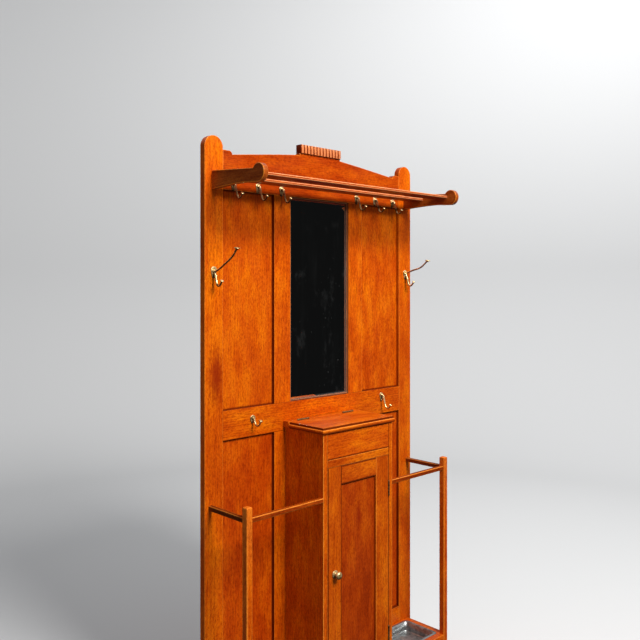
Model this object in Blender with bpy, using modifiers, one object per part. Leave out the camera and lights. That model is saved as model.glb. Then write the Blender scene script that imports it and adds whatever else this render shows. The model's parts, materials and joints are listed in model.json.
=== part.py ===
"""Oak hall stand: a panelled back with a mirror, a slatted hat shelf on scrolled brackets, brass hooks,
a glove box with a lifting lid over a small cupboard, and a stick stand with a drip tray on each side.

Metres. +Z is up, +X is to the right of a person who faces the stand, and -Y points at that person.
The origin is on the floor, under the centre of the overall box.
"""

import math

import bmesh
import bpy
from mathutils import Matrix, Vector

# ------------------------------------------------------------------ driving dimensions
GAP = 0.0003                # clearance between pieces that touch
EASE = 0.0012               # width of the sanded edges

WIDTH = 1.000
DEPTH = 0.2781              # from the scrolls of the brackets to the back of the stiles
BOARD = 0.0238              # thickness of the frame stock
BACK = DEPTH / 2
FACE = BACK - BOARD         # front face of the stiles
SETBACK = 0.0005            # the rails lie this much inside the faces of the stiles

# back frame
STILE_WIDTH = 0.0706
STILE_TOP = 1.8845          # crown of the rounded stile
STILE_INNER = WIDTH / 2 - STILE_WIDTH
MUNTIN_INNER = 0.143
MUNTIN_OUTER = 0.216
CREST_BOTTOM = 1.7182
MID_RAIL = (0.9220, 1.0170)
BOTTOM_RAIL = (0.060, 0.150)
PANEL_RECESS = 0.010
PANEL_THICK = 0.008
GLASS_THICK = 0.004
TONGUE = 0.006              # how far a panel enters its grooves

# crest of the back frame
EAR_TOP = 1.8440
EAR_RADIUS = 0.0125
EAR_CENTRE = 0.4050
EAR_FOOT = 1.8328
GABLE_KNEE = (0.200, 1.8555)
GABLE_HEAD = 1.8660
PAD_HALF = 0.0985
PAD_TOP = 1.8720
BLOCK_TOP = 1.9020
BLOCK_FRONT = 0.007         # the reeds stand this far in front of the stiles
BLOCK_BACK = 0.0035         # the block stops this far short of the back
REEDS = 13
REED_DEPTH = 0.004

# hat shelf
BRACKET_X = (0.4565, 0.4735)
SCROLL_REACH = 0.2265
SCROLL_Z = 1.7445
SCROLL_RADIUS = 0.0278
SLAT_Z = (1.7425, 1.7510)
SLATS = {"front": (0.149, 0.214), "back": (0.034, 0.098)}

# glove box and cupboard
CUPBOARD_OUTER = 0.1695
CUPBOARD_INNER = 0.1495
CUPBOARD_DEPTH = 0.188
LID_HALF = 0.177
LID_DEPTH = 0.195
LID_Z = (0.9340, 0.9550)
LID_STEP = 0.0045           # width of the moulded step round the lid
LID_STEP_Z = 0.9490
HINGE_LINE = 0.028          # distance of the lid's joint in front of the stiles
FASCIA_BOTTOM = 0.8455
CROSS_RAIL_BOTTOM = 0.8205
FASCIA_THICK = 0.018
FLOOR_THICK = 0.012
DOOR_HALF = 0.1490
DOOR_Z = (0.0905, 0.8195)
DOOR_THICK = 0.019
DOOR_STILE = 0.064
DOOR_TOP_RAIL = 0.0614
DOOR_BOTTOM_RAIL = 0.085
DOOR_PANEL_RECESS = 0.007
KNOB_Z = 0.470

# base
PLATFORM_Z = (0.0700, 0.0885)
PLATFORM_OUTER = 0.4870
PLATFORM_DEPTH = 0.192
PLINTH_THICK = 0.018
PLINTH_SETBACK = 0.0035
PLINTH_FOOT = 0.070         # width of the plinth's foot at each end
PLINTH_ARCH = 0.022         # height of the opening between the feet

# stick stands
POST = 0.022
POST_X = 0.476
POST_DEPTH = 0.181          # distance of the posts' centres in front of the stiles
POST_TOP = 0.7615
RAIL = 0.015
SIDE_RAIL_X = 0.478
TOP_RAIL_Z = 0.7205
TRAY_X = (0.178, 0.462)
TRAY_DEPTH = (0.008, 0.166)
TRAY_FLANGE = 0.010
TRAY_SHEET = 0.0012
TRAY_PAN = 0.036

# brass
HAT_HOOK_X = (0.185, 0.287, 0.389)
HAT_HOOK_Z = 1.7355
RAIL_HOOK_LEFT = (-0.3096, 0.9785)
RAIL_HOOK_RIGHT = (0.3236, 0.9899)
COAT_HOOK_X = 0.4665
COAT_HOOK_Z = 1.4575
HINGE_LENGTH = 0.054
HINGE_LEAF = 0.016
HINGE_SHEET = 0.0012
HINGE_CLEARANCE = 0.0002    # half the gap between the closed leaves
KNUCKLE = 0.0030
PIN = 0.0014
PIN_FIT = 0.0003
LID_HINGE_X = 0.110
DOOR_HINGE_Z = (0.195, 0.7035)

SIDES = {"left": -1, "right": 1}
QUARTER = math.pi / 2
UPRIGHT = (QUARTER, 0, 0)             # an outline drawn in X and Z
SIDEWAYS = (QUARTER, 0, QUARTER)      # an outline drawn in Y and Z

COLOURS = {
    "oak_frame": ((0.60, 0.155, 0.018, 1), 0.32, 0.0),
    "oak_panel": ((0.56, 0.135, 0.015, 1), 0.34, 0.0),
    "oak_cupboard": ((0.52, 0.115, 0.014, 1), 0.32, 0.0),
    "brass": ((0.78, 0.60, 0.32, 1), 0.25, 1.0),
    "mirror": ((0.80, 0.82, 0.82, 1), 0.03, 1.0),
    "tray_zinc": ((0.32, 0.33, 0.33, 1), 0.50, 1.0),
}


# ------------------------------------------------------------------ scene and materials
def empty_scene():
    for existing in list(bpy.data.objects):
        bpy.data.objects.remove(existing)


def new_collection(name):
    collection = bpy.data.collections.new(name)
    bpy.context.scene.collection.children.link(collection)
    return collection


def make_materials():
    made = {}
    for name, (colour, roughness, metallic) in COLOURS.items():
        material = bpy.data.materials.new(name)
        material.use_nodes = True
        shader = material.node_tree.nodes["Principled BSDF"]
        shader.inputs["Base Color"].default_value = colour
        shader.inputs["Roughness"].default_value = roughness
        shader.inputs["Metallic"].default_value = metallic
        made[name] = material
    return made


empty_scene()
PARTS = new_collection("hall_stand")
CUTTERS = new_collection("cutters")
MATERIALS = make_materials()


# ------------------------------------------------------------------ tools
def place(name, data, material, location=(0, 0, 0), rotation=(0, 0, 0)):
    """Make the named piece from a mesh."""
    piece = bpy.data.objects.new(name, data)
    piece.location = location
    piece.rotation_euler = rotation
    PARTS.objects.link(piece)
    data.materials.clear()
    data.materials.append(MATERIALS[material])
    return piece


def ease(piece, width=EASE):
    """Take the piece's sharp edges off."""
    bevel = piece.modifiers.new("eased_edges", "BEVEL")
    bevel.width = width
    bevel.segments = 1
    bevel.limit_method = "ANGLE"
    bevel.angle_limit = math.radians(40)


def fit(low, high):
    """Shorten a span by the clearance at both ends."""
    return low + GAP, high - GAP


def forward(near, far):
    """The Y span from one distance to another in front of the stiles."""
    return FACE - far, FACE - near


def to_side(side, inner, outer):
    """The X span between two distances from the middle, on one side."""
    return tuple(sorted((side * inner, side * outer)))


def block_mesh(name, spans):
    """A box mesh round its own centre."""
    low = Vector(span[0] for span in spans)
    high = Vector(span[1] for span in spans)
    size = high - low
    mesh = bpy.data.meshes.new(name)
    bm = bmesh.new()
    bmesh.ops.create_cube(bm, size=1)
    bmesh.ops.scale(bm, vec=size, verts=bm.verts)
    bm.to_mesh(mesh)
    bm.free()
    return mesh, (low + high) / 2


def board(name, x, y, z, material, rounding=EASE):
    """A straight piece of timber with its edges eased."""
    mesh, centre = block_mesh(name, (x, y, z))
    piece = place(name, mesh, material, centre)
    if rounding:
        ease(piece, rounding)
    return piece


def cutter(name, x, y, z):
    """A box that is only used to cut other pieces."""
    mesh, centre = block_mesh(name, (x, y, z))
    tool = bpy.data.objects.new(name, mesh)
    tool.location = centre
    tool.hide_render = True
    tool.display_type = "WIRE"
    CUTTERS.objects.link(tool)
    return tool


def cut(piece, tool):
    difference = piece.modifiers.new(tool.name, "BOOLEAN")
    difference.operation = "DIFFERENCE"
    difference.object = tool


def settled_mesh(source):
    """The mesh of an object with its modifiers, welded."""
    graph = bpy.context.evaluated_depsgraph_get()
    mesh = bpy.data.meshes.new_from_object(source.evaluated_get(graph))
    bm = bmesh.new()
    bm.from_mesh(mesh)
    bmesh.ops.remove_doubles(bm, verts=bm.verts, dist=0.00001)
    bm.to_mesh(mesh)
    bm.free()
    return mesh


def curve_mesh(curve):
    """Turn curve data into a welded mesh."""
    holder = bpy.data.objects.new(curve.name, curve)
    PARTS.objects.link(holder)
    mesh = settled_mesh(holder)
    bpy.data.objects.remove(holder)
    return mesh


def fused_mesh(pieces):
    """Join overlapping pieces into one solid."""
    base, *others = pieces
    for other in others:
        union = base.modifiers.new("union", "BOOLEAN")
        union.operation = "UNION"
        union.object = other
    mesh = settled_mesh(base)
    mesh.transform(base.matrix_world)
    for piece in pieces:
        bpy.data.objects.remove(piece)
    return mesh


def outline_mesh(name, points, thickness):
    """A flat outline, extruded by half its thickness both ways."""
    curve = bpy.data.curves.new(name, "CURVE")
    curve.dimensions = "2D"
    curve.fill_mode = "BOTH"
    curve.extrude = thickness / 2
    spline = curve.splines.new("POLY")
    spline.points.add(len(points) - 1)
    for point, (across, up) in zip(spline.points, points):
        point.co = (across, up, 0, 1)
    spline.use_cyclic_u = True
    return curve_mesh(curve)


def rod_mesh(name, points, radius, taper=1.0):
    """A bent rod in the plane X = 0. Points are (reach in front, rise)."""
    curve = bpy.data.curves.new(name, "CURVE")
    curve.dimensions = "3D"
    curve.bevel_depth = radius
    curve.bevel_resolution = 2
    curve.resolution_u = 3
    curve.use_fill_caps = True
    spline = curve.splines.new("BEZIER")
    spline.bezier_points.add(len(points) - 1)
    last = len(points) - 1
    for index, (reach, rise) in enumerate(points):
        knot = spline.bezier_points[index]
        knot.co = (0, -reach, rise)
        knot.handle_left_type = "AUTO"
        knot.handle_right_type = "AUTO"
        knot.radius = 1 + (taper - 1) * index / last
    return curve_mesh(curve)


def ball_mesh(name, radius, flatten=1.0):
    mesh = bpy.data.meshes.new(name)
    bm = bmesh.new()
    bmesh.ops.create_uvsphere(bm, u_segments=10, v_segments=6, radius=radius)
    bmesh.ops.scale(bm, vec=(1, 1, flatten), verts=bm.verts)
    bm.to_mesh(mesh)
    bm.free()
    return mesh


def drum_mesh(name, radius, low, high, segments=12):
    """A cylinder along Z."""
    mesh = bpy.data.meshes.new(name)
    bm = bmesh.new()
    bmesh.ops.create_cone(bm, cap_ends=True, segments=segments, radius1=radius, radius2=radius, depth=high - low)
    bmesh.ops.translate(bm, vec=(0, 0, (low + high) / 2), verts=bm.verts)
    bm.to_mesh(mesh)
    bm.free()
    return mesh


def arc(centre, radius, start, end, steps):
    """Points on an arc, in degrees, both ends included."""
    points = []
    for step in range(steps + 1):
        angle = math.radians(start + (end - start) * step / steps)
        points.append((centre[0] + radius * math.cos(angle), centre[1] + radius * math.sin(angle)))
    return points


def round_off(mesh, angle=35):
    mesh.shade_smooth()
    mesh.set_sharp_from_angle(angle=math.radians(angle))


# ------------------------------------------------------------------ back frame
def make_stiles():
    """Two uprights with half-round tops."""
    half = STILE_WIDTH / 2
    crown = arc((0, STILE_TOP - half), half, 0, 180, 24)
    profile = [(-half, 0), (half, 0)] + crown
    made = {}
    for label, side in SIDES.items():
        name = f"stile_{label}"
        mesh = outline_mesh(name, profile, BOARD)
        middle = (side * (WIDTH / 2 - half), FACE + BOARD / 2, 0)
        made[label] = place(name, mesh, "oak_frame", middle, UPRIGHT)
        ease(made[label])
    return made


def make_crest():
    """The top rail: a shallow gable with a flat pad in the middle and an ear at each stile."""
    ear = arc((EAR_CENTRE, EAR_TOP - EAR_RADIUS), EAR_RADIUS, 175, 90, 6)
    end = STILE_INNER - GAP
    right = [(end, CREST_BOTTOM), (end, EAR_TOP)] + ear[::-1]
    right += [GABLE_KNEE, (PAD_HALF, GABLE_HEAD), (PAD_HALF, PAD_TOP)]
    left = [(-across, up) for across, up in reversed(right)]
    mesh = outline_mesh("crest_rail", right + left, BOARD - 2 * SETBACK)
    crest = place("crest_rail", mesh, "oak_frame", (0, FACE + BOARD / 2, 0), UPRIGHT)
    ease(crest)
    return crest


def make_frame_board(name, x, z):
    return board(name, x, (FACE + SETBACK, BACK - SETBACK), z, "oak_frame")


def make_panel(name, x, z, members, material, thickness=PANEL_THICK):
    """A panel with its edges in grooves in the frame round it."""
    x = (x[0] - TONGUE, x[1] + TONGUE)
    z = (z[0] - TONGUE, z[1] + TONGUE)
    y = (FACE + PANEL_RECESS, FACE + PANEL_RECESS + thickness)
    panel = board(name, x, y, z, material, 0)
    groove = cutter(f"groove_{name}", *[(low - GAP, high + GAP) for low, high in (x, y, z)])
    for member in members:
        cut(member, groove)
    return panel


def make_back():
    stiles = make_stiles()
    crest = make_crest()
    mid_rail = make_frame_board("mid_rail", fit(-STILE_INNER, STILE_INNER), MID_RAIL)
    bottom_rail = make_frame_board("bottom_rail", fit(-STILE_INNER, STILE_INNER), BOTTOM_RAIL)
    upper = (MID_RAIL[1], CREST_BOTTOM)
    lower = (BOTTOM_RAIL[1], MID_RAIL[0])
    upper_muntins = []
    lower_muntins = []
    for label, side in SIDES.items():
        across = to_side(side, MUNTIN_INNER, MUNTIN_OUTER)
        upper_muntin = make_frame_board(f"upper_muntin_{label}", across, fit(*upper))
        lower_muntin = make_frame_board(f"lower_muntin_{label}", across, fit(*lower))
        opening = to_side(side, MUNTIN_OUTER, STILE_INNER)
        upper_frame = (stiles[label], upper_muntin, crest, mid_rail)
        lower_frame = (stiles[label], lower_muntin, mid_rail, bottom_rail)
        make_panel(f"upper_panel_{label}", opening, upper, upper_frame, "oak_panel")
        make_panel(f"lower_panel_{label}", opening, lower, lower_frame, "oak_panel")
        upper_muntins.append(upper_muntin)
        lower_muntins.append(lower_muntin)
    middle = (-MUNTIN_INNER, MUNTIN_INNER)
    make_panel("mirror_glass", middle, upper, (*upper_muntins, crest, mid_rail), "mirror", GLASS_THICK)
    make_panel("cupboard_back", middle, lower, (*lower_muntins, mid_rail, bottom_rail), "oak_panel")


def make_reeded_block():
    """A low block on the crest, with upright reeds worked on its front."""
    pitch = 2 * PAD_HALF / REEDS
    shoulder = FACE - BLOCK_FRONT + REED_DEPTH
    front = [(-PAD_HALF, shoulder)]
    for reed in range(REEDS):
        start = -PAD_HALF + reed * pitch
        for step in range(1, 5):
            turn = math.pi * step / 4
            across = start + pitch * (1 - math.cos(turn)) / 2
            front.append((across, shoulder - REED_DEPTH * math.sin(turn)))
    back = BACK - BLOCK_BACK
    profile = front + [(PAD_HALF, back), (-PAD_HALF, back)]
    mesh = outline_mesh("reeded_block", profile, BLOCK_TOP - PAD_TOP - GAP)
    round_off(mesh)
    place("reeded_block", mesh, "oak_frame", (0, 0, (BLOCK_TOP + PAD_TOP + GAP) / 2))


# ------------------------------------------------------------------ hat shelf
def make_hat_shelf():
    """Two scroll-ended brackets on the stiles, with two slats between them."""
    def at(reach, height):
        return FACE - reach, height

    scroll = arc(at(SCROLL_REACH, SCROLL_Z), SCROLL_RADIUS, 32, 278, 20)
    underside = [at(0.190, 1.7185), at(0.146, 1.7215), at(0.087, 1.7200), at(0.047, 1.7180)]
    profile = [at(GAP, 1.7735)] + scroll + underside + [at(GAP, 1.7150)]
    low, high = BRACKET_X
    for label, side in SIDES.items():
        name = f"shelf_bracket_{label}"
        mesh = outline_mesh(name, profile, high - low)
        bracket = place(name, mesh, "oak_frame", (side * (low + high) / 2, 0, 0), SIDEWAYS)
        ease(bracket, 0.0010)
    for label, (near, far) in SLATS.items():
        board(f"shelf_slat_{label}", fit(-low, low), forward(near, far), SLAT_Z, "oak_frame")


# ------------------------------------------------------------------ brass hooks
def hook_plate(name, width, height, thickness, corner):
    """A flat oval plate against the timber, centred on the origin."""
    half_width = width / 2 - corner
    half_height = height / 2 - corner
    points = []
    for centre, start in (((half_width, half_height), 0), ((-half_width, half_height), 90),
                          ((-half_width, -half_height), 180), ((half_width, -half_height), 270)):
        points += arc(centre, corner, start, start + 90, 3)
    mesh = outline_mesh(name, points, thickness)
    return place(name, mesh, "brass", (0, -thickness / 2, 0), UPRIGHT)


def hook_mesh(name, plate, arms):
    """One hook: a plate with a bent arm for each entry, and a knob on each arm's tip."""
    pieces = [hook_plate(f"{name}_plate", *plate)]
    for index, (points, radius, taper, knob, flatten) in enumerate(arms):
        pieces.append(place(f"{name}_arm_{index}", rod_mesh(name, points, radius, taper), "brass"))
        reach, rise = points[-1]
        tip = place(f"{name}_tip_{index}", ball_mesh(name, knob, flatten), "brass", (0, -reach, rise))
        before = points[-2]
        tip.rotation_euler.x = math.atan2(reach - before[0], rise - before[1])
        pieces.append(tip)
    mesh = fused_mesh(pieces)
    round_off(mesh)
    return mesh


def make_hooks():
    face = FACE - GAP
    rail_face = face + SETBACK
    hat_arm = [(0.0026, -0.003), (0.0115, -0.0165), (0.0205, -0.0345), (0.0300, -0.0445),
               (0.0415, -0.0410), (0.0495, -0.0290)]
    hat = hook_mesh("hat_hook", (0.014, 0.027, 0.0026, 0.0065), [(hat_arm, 0.0027, 0.75, 0.0044, 1.0)])
    spots = [(side * across, HAT_HOOK_Z) for side in (-1, 1) for across in HAT_HOOK_X]
    for index, (across, height) in enumerate(sorted(spots), start=1):
        place(f"hat_hook_{index}", hat, "brass", (across, rail_face, height))
    place("rail_hook_right", hat, "brass", (RAIL_HOOK_RIGHT[0], rail_face, RAIL_HOOK_RIGHT[1]))

    short_arm = [(0.0022, -0.002), (0.0110, -0.0090), (0.0165, -0.0180), (0.0235, -0.0205),
                 (0.0345, -0.0150), (0.0430, 0.0010)]
    short = hook_mesh("rail_hook", (0.019, 0.024, 0.0030, 0.0090), [(short_arm, 0.0029, 0.8, 0.0046, 1.0)])
    place("rail_hook_left", short, "brass", (RAIL_HOOK_LEFT[0], rail_face, RAIL_HOOK_LEFT[1]))

    lower_arm = [(0.0032, -0.012), (0.0075, -0.0275), (0.0150, -0.0410), (0.0235, -0.0450),
                 (0.0365, -0.0420), (0.0450, -0.0290)]
    upper_arms = {
        "left": [(0.0015, 0.000), (0.0170, 0.0030), (0.0580, 0.0225), (0.0980, 0.0460), (0.1195, 0.0695)],
        "right": [(0.0015, 0.004), (0.0150, 0.0080), (0.0420, 0.0160), (0.0800, 0.0270), (0.1130, 0.0525)],
    }
    for label, side in SIDES.items():
        name = f"coat_hook_{label}"
        arms = [(upper_arms[label], 0.0034, 0.85, 0.0075, 0.45), (lower_arm, 0.0030, 0.8, 0.0050, 1.0)]
        mesh = hook_mesh(name, (0.023, 0.033, 0.0030, 0.0080), arms)
        place(name, mesh, "brass", (side * COAT_HOOK_X, face, COAT_HOOK_Z))


# ------------------------------------------------------------------ hinges
def hinge_leaf_mesh(name, side, barrels):
    """Half a butt hinge, closed, with its pin along Z and its leaf running back along +Y.

    The half with three barrels carries the pin, and the half with two is bored to turn on it.
    """
    near, far = sorted((side * HINGE_CLEARANCE, side * (HINGE_CLEARANCE + HINGE_SHEET)))
    pitch = HINGE_LENGTH / 5
    clear = KNUCKLE + 0.0004
    half = HINGE_LENGTH / 2
    pieces = [board(f"{name}_sheet", (near, far), (clear, KNUCKLE + HINGE_LEAF), (-half, half), "brass", 0)]
    for index in barrels:
        low, high = fit(-half + index * pitch, -half + (index + 1) * pitch)
        pieces.append(place(f"{name}_barrel", drum_mesh(name, KNUCKLE, low, high), "brass"))
        pieces.append(board(f"{name}_neck", (near, far), (0, clear + 0.001), (low, high), "brass", 0))
    carries_pin = len(barrels) == 3
    if carries_pin:
        pieces.append(place(f"{name}_pin", drum_mesh(name, PIN, GAP - half, half - GAP, 8), "brass"))
        mesh = fused_mesh(pieces)
    else:
        solid = place(f"{name}_solid", fused_mesh(pieces), "brass")
        bore = place(f"{name}_bore", drum_mesh(name, PIN + PIN_FIT, -half, half, 8), "brass")
        cut(solid, bore)
        mesh = settled_mesh(solid)
        bpy.data.objects.remove(solid)
        bpy.data.objects.remove(bore)
    round_off(mesh)
    return mesh


def hinge_recess(name, centre, rotation, members):
    """Cut the seats of both leaves of a hinge, and the round seat of its knuckle."""
    depth = HINGE_CLEARANCE + HINGE_SHEET + GAP
    half = HINGE_LENGTH / 2 + GAP
    slot = board(f"{name}_slot", (-depth, depth), (0, KNUCKLE + HINGE_LEAF + GAP), (-half, half), "brass", 0)
    groove = place(f"{name}_groove", drum_mesh(name, KNUCKLE + GAP, -half, half), "brass")
    tool = bpy.data.objects.new(name, fused_mesh([slot, groove]))
    tool.location = centre
    tool.rotation_euler = rotation
    tool.hide_render = True
    tool.display_type = "WIRE"
    CUTTERS.objects.link(tool)
    for member in members:
        cut(member, tool)


def axis_empty(name, location):
    """An empty on a joint's axis, which carries the pieces that turn about it."""
    axis = bpy.data.objects.new(name, None)
    axis.location = location
    PARTS.objects.link(axis)
    return axis


def carry(axis, pieces):
    for piece in pieces:
        piece.parent = axis
        piece.matrix_parent_inverse = Matrix.Translation(-axis.location)


# ------------------------------------------------------------------ glove box and cupboard
def make_lid(fixed_leaf, turning_leaf):
    """The lid, the fixed strip behind it, and the two hinges between them."""
    across = (-LID_HALF, LID_HALF)
    back_edge = HINGE_LINE + 0.0004
    lower = board("lid_lower", across, forward(back_edge, LID_DEPTH), (LID_Z[0], LID_STEP_Z), "oak_cupboard")
    inner = (-LID_HALF + LID_STEP, LID_HALF - LID_STEP)
    upper_span = (LID_STEP_Z - 0.004, LID_Z[1])
    upper = board("lid_upper", inner, forward(back_edge, LID_DEPTH - LID_STEP), upper_span, "oak_cupboard")
    lid = place("lid", fused_mesh([lower, upper]), "oak_cupboard")
    strip = board("lid_hinge_strip", across, forward(GAP, HINGE_LINE - 0.0004), LID_Z, "oak_cupboard")

    pin = Vector((0, FACE - HINGE_LINE, LID_Z[1] + 0.0018))
    axis = axis_empty("lid_axis", pin)
    turned = [lid]
    flat = (-QUARTER, 0, QUARTER)
    for label, side in SIDES.items():
        centre = pin + Vector((side * LID_HINGE_X, 0, 0))
        hinge_recess(f"lid_hinge_seat_{label}", centre, flat, (lid, strip))
        place(f"lid_hinge_fixed_{label}", fixed_leaf, "brass", centre, flat)
        turned.append(place(f"lid_hinge_leaf_{label}", turning_leaf, "brass", centre, flat))
    carry(axis, turned)


def make_case():
    """The two sides, the fascia of the glove box, and its floor with the cross rail along its front."""
    sides = {}
    for label, side in SIDES.items():
        across = to_side(side, CUPBOARD_INNER, CUPBOARD_OUTER)
        height = fit(PLATFORM_Z[1], LID_Z[0])
        sides[label] = board(f"cupboard_side_{label}", across, forward(GAP, CUPBOARD_DEPTH), height, "oak_cupboard")
    across = fit(-CUPBOARD_INNER, CUPBOARD_INNER)
    front = forward(CUPBOARD_DEPTH - FASCIA_THICK, CUPBOARD_DEPTH)
    board("glove_box_front", across, front, fit(FASCIA_BOTTOM, LID_Z[0]), "oak_cupboard")

    rail_back = FACE - CUPBOARD_DEPTH + FASCIA_THICK
    shelf_top = FASCIA_BOTTOM
    shelf_under = shelf_top - FLOOR_THICK
    profile = [(FACE - GAP, shelf_top), (FACE - CUPBOARD_DEPTH, shelf_top),
               (FACE - CUPBOARD_DEPTH, CROSS_RAIL_BOTTOM), (rail_back, CROSS_RAIL_BOTTOM),
               (rail_back, shelf_under), (FACE - GAP, shelf_under)]
    mesh = outline_mesh("glove_box_floor", profile, across[1] - across[0])
    ease(place("glove_box_floor", mesh, "oak_cupboard", (0, 0, 0), SIDEWAYS))
    return sides


def knob_mesh():
    """A turned knob on a small round plate, with its axis along Z."""
    bm = bmesh.new()
    profile = [(0, 0.0260), (0.0060, 0.0255), (0.0105, 0.0225), (0.0125, 0.0180), (0.0108, 0.0135),
               (0.0068, 0.0105), (0.0055, 0.0070), (0.0075, 0.0040), (0.0120, 0.0025), (0.0130, 0), (0, 0)]
    verts = [bm.verts.new((radius, 0, height)) for radius, height in profile]
    for first, second in zip(verts, verts[1:]):
        bm.edges.new((first, second))
    mesh = bpy.data.meshes.new("door_knob")
    bm.to_mesh(mesh)
    bm.free()
    return mesh


def make_door(side, fixed_leaf, turning_leaf):
    """A panelled door on two butt hinges at its right edge."""
    thick = forward(CUPBOARD_DEPTH - DOOR_THICK, CUPBOARD_DEPTH)
    inner = DOOR_HALF - DOOR_STILE
    panel_z = (DOOR_Z[0] + DOOR_BOTTOM_RAIL, DOOR_Z[1] - DOOR_TOP_RAIL)
    stiles = {}
    for label, direction in SIDES.items():
        across = to_side(direction, inner, DOOR_HALF)
        stiles[label] = board(f"door_stile_{label}", across, thick, DOOR_Z, "oak_cupboard")
    top = board("door_rail_top", fit(-inner, inner), thick, (panel_z[1], DOOR_Z[1]), "oak_cupboard")
    bottom = board("door_rail_bottom", fit(-inner, inner), thick, (DOOR_Z[0], panel_z[0]), "oak_cupboard")

    x = (-inner - TONGUE, inner + TONGUE)
    y = forward(CUPBOARD_DEPTH - DOOR_PANEL_RECESS - PANEL_THICK, CUPBOARD_DEPTH - DOOR_PANEL_RECESS)
    z = (panel_z[0] - TONGUE, panel_z[1] + TONGUE)
    panel = board("door_panel", x, y, z, "oak_panel", 0)
    groove = cutter("groove_door_panel", *[(low - GAP, high + GAP) for low, high in (x, y, z)])
    frame = [stiles["left"], stiles["right"], top, bottom]
    for member in frame:
        cut(member, groove)

    knob_spot = (-DOOR_HALF + DOOR_STILE / 2, FACE - CUPBOARD_DEPTH - GAP, KNOB_Z)
    knob = place("door_knob", knob_mesh(), "brass", knob_spot, UPRIGHT)
    turn = knob.modifiers.new("turned", "SCREW")
    turn.axis = "Z"
    turn.steps = 16
    turn.render_steps = 16
    turn.use_merge_vertices = True
    turn.merge_threshold = 0.00001

    joint = (DOOR_HALF + CUPBOARD_INNER) / 2
    pin = Vector((joint, FACE - CUPBOARD_DEPTH - 0.0018, 0))
    axis = axis_empty("door_axis", pin)
    turned = frame + [panel, knob]
    for label, height in zip(("bottom", "top"), DOOR_HINGE_Z):
        centre = pin + Vector((0, 0, height))
        hinge_recess(f"door_hinge_seat_{label}", centre, (0, 0, 0), (side, stiles["right"]))
        place(f"door_hinge_fixed_{label}", fixed_leaf, "brass", centre)
        turned.append(place(f"door_hinge_leaf_{label}", turning_leaf, "brass", centre))
    carry(axis, turned)


# ------------------------------------------------------------------ base and stick stands
def make_platform():
    """One board over the whole base, notched for the posts and open under both trays."""
    across = (-PLATFORM_OUTER, PLATFORM_OUTER)
    platform = board("base_platform", across, forward(GAP, PLATFORM_DEPTH), PLATFORM_Z, "oak_frame")
    through = (PLATFORM_Z[0] - 0.01, PLATFORM_Z[1] + 0.01)
    post_inner = POST_X - POST / 2 - GAP
    post_near = POST_DEPTH - POST / 2 - GAP
    for label, side in SIDES.items():
        notch = to_side(side, post_inner, PLATFORM_OUTER + 0.01)
        cut(platform, cutter(f"post_notch_{label}", notch, forward(post_near, PLATFORM_DEPTH + 0.01), through))
        margin = TRAY_FLANGE - 0.001
        well = to_side(side, TRAY_X[0] + margin, TRAY_X[1] - margin)
        depth = forward(TRAY_DEPTH[0] + margin, TRAY_DEPTH[1] - margin)
        cut(platform, cutter(f"tray_well_{label}", well, depth, through))


def make_plinth():
    """The front plinth between the posts, with a long low opening between its feet."""
    end = POST_X - POST / 2 - GAP
    foot = end - PLINTH_FOOT
    curve = arc((foot - PLINTH_ARCH, 0), PLINTH_ARCH, 0, 90, 6)
    right = [(end, PLATFORM_Z[0] - GAP), (end, 0)] + curve
    left = [(-across, up) for across, up in reversed(right)]
    mesh = outline_mesh("plinth_front", right + left, PLINTH_THICK)
    middle = FACE - PLATFORM_DEPTH + PLINTH_SETBACK + PLINTH_THICK / 2
    ease(place("plinth_front", mesh, "oak_frame", (0, middle, 0), UPRIGHT))


def tray_mesh():
    """A pressed pan, open at the top, with a flat flange round its rim. The origin is under the flange."""
    pan_x = (TRAY_X[1] - TRAY_X[0]) / 2 - TRAY_FLANGE
    pan_y = (TRAY_DEPTH[1] - TRAY_DEPTH[0]) / 2 - TRAY_FLANGE
    bm = bmesh.new()
    bmesh.ops.create_cube(bm, size=1)
    bmesh.ops.scale(bm, vec=(2 * pan_x, 2 * pan_y, TRAY_PAN), verts=bm.verts)
    bmesh.ops.translate(bm, vec=(0, 0, -TRAY_PAN / 2), verts=bm.verts)
    uprights = [edge for edge in bm.edges if abs(edge.verts[0].co.z - edge.verts[1].co.z) > TRAY_PAN / 2]
    bmesh.ops.bevel(bm, geom=uprights, offset=0.012, segments=3, profile=0.5, affect="EDGES", material=-1)
    top = [face for face in bm.faces if face.normal.z > 0.9]
    bmesh.ops.delete(bm, geom=top, context="FACES_ONLY")
    rim = [edge for edge in bm.edges if edge.is_boundary]
    skirt = bmesh.ops.extrude_edge_only(bm, edges=rim)
    outer = [item for item in skirt["geom"] if isinstance(item, bmesh.types.BMVert)]
    grow = ((pan_x + TRAY_FLANGE) / pan_x, (pan_y + TRAY_FLANGE) / pan_y, 1)
    bmesh.ops.scale(bm, vec=grow, verts=outer)
    mesh = bpy.data.meshes.new("drip_tray")
    bm.to_mesh(mesh)
    bm.free()
    return mesh


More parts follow.
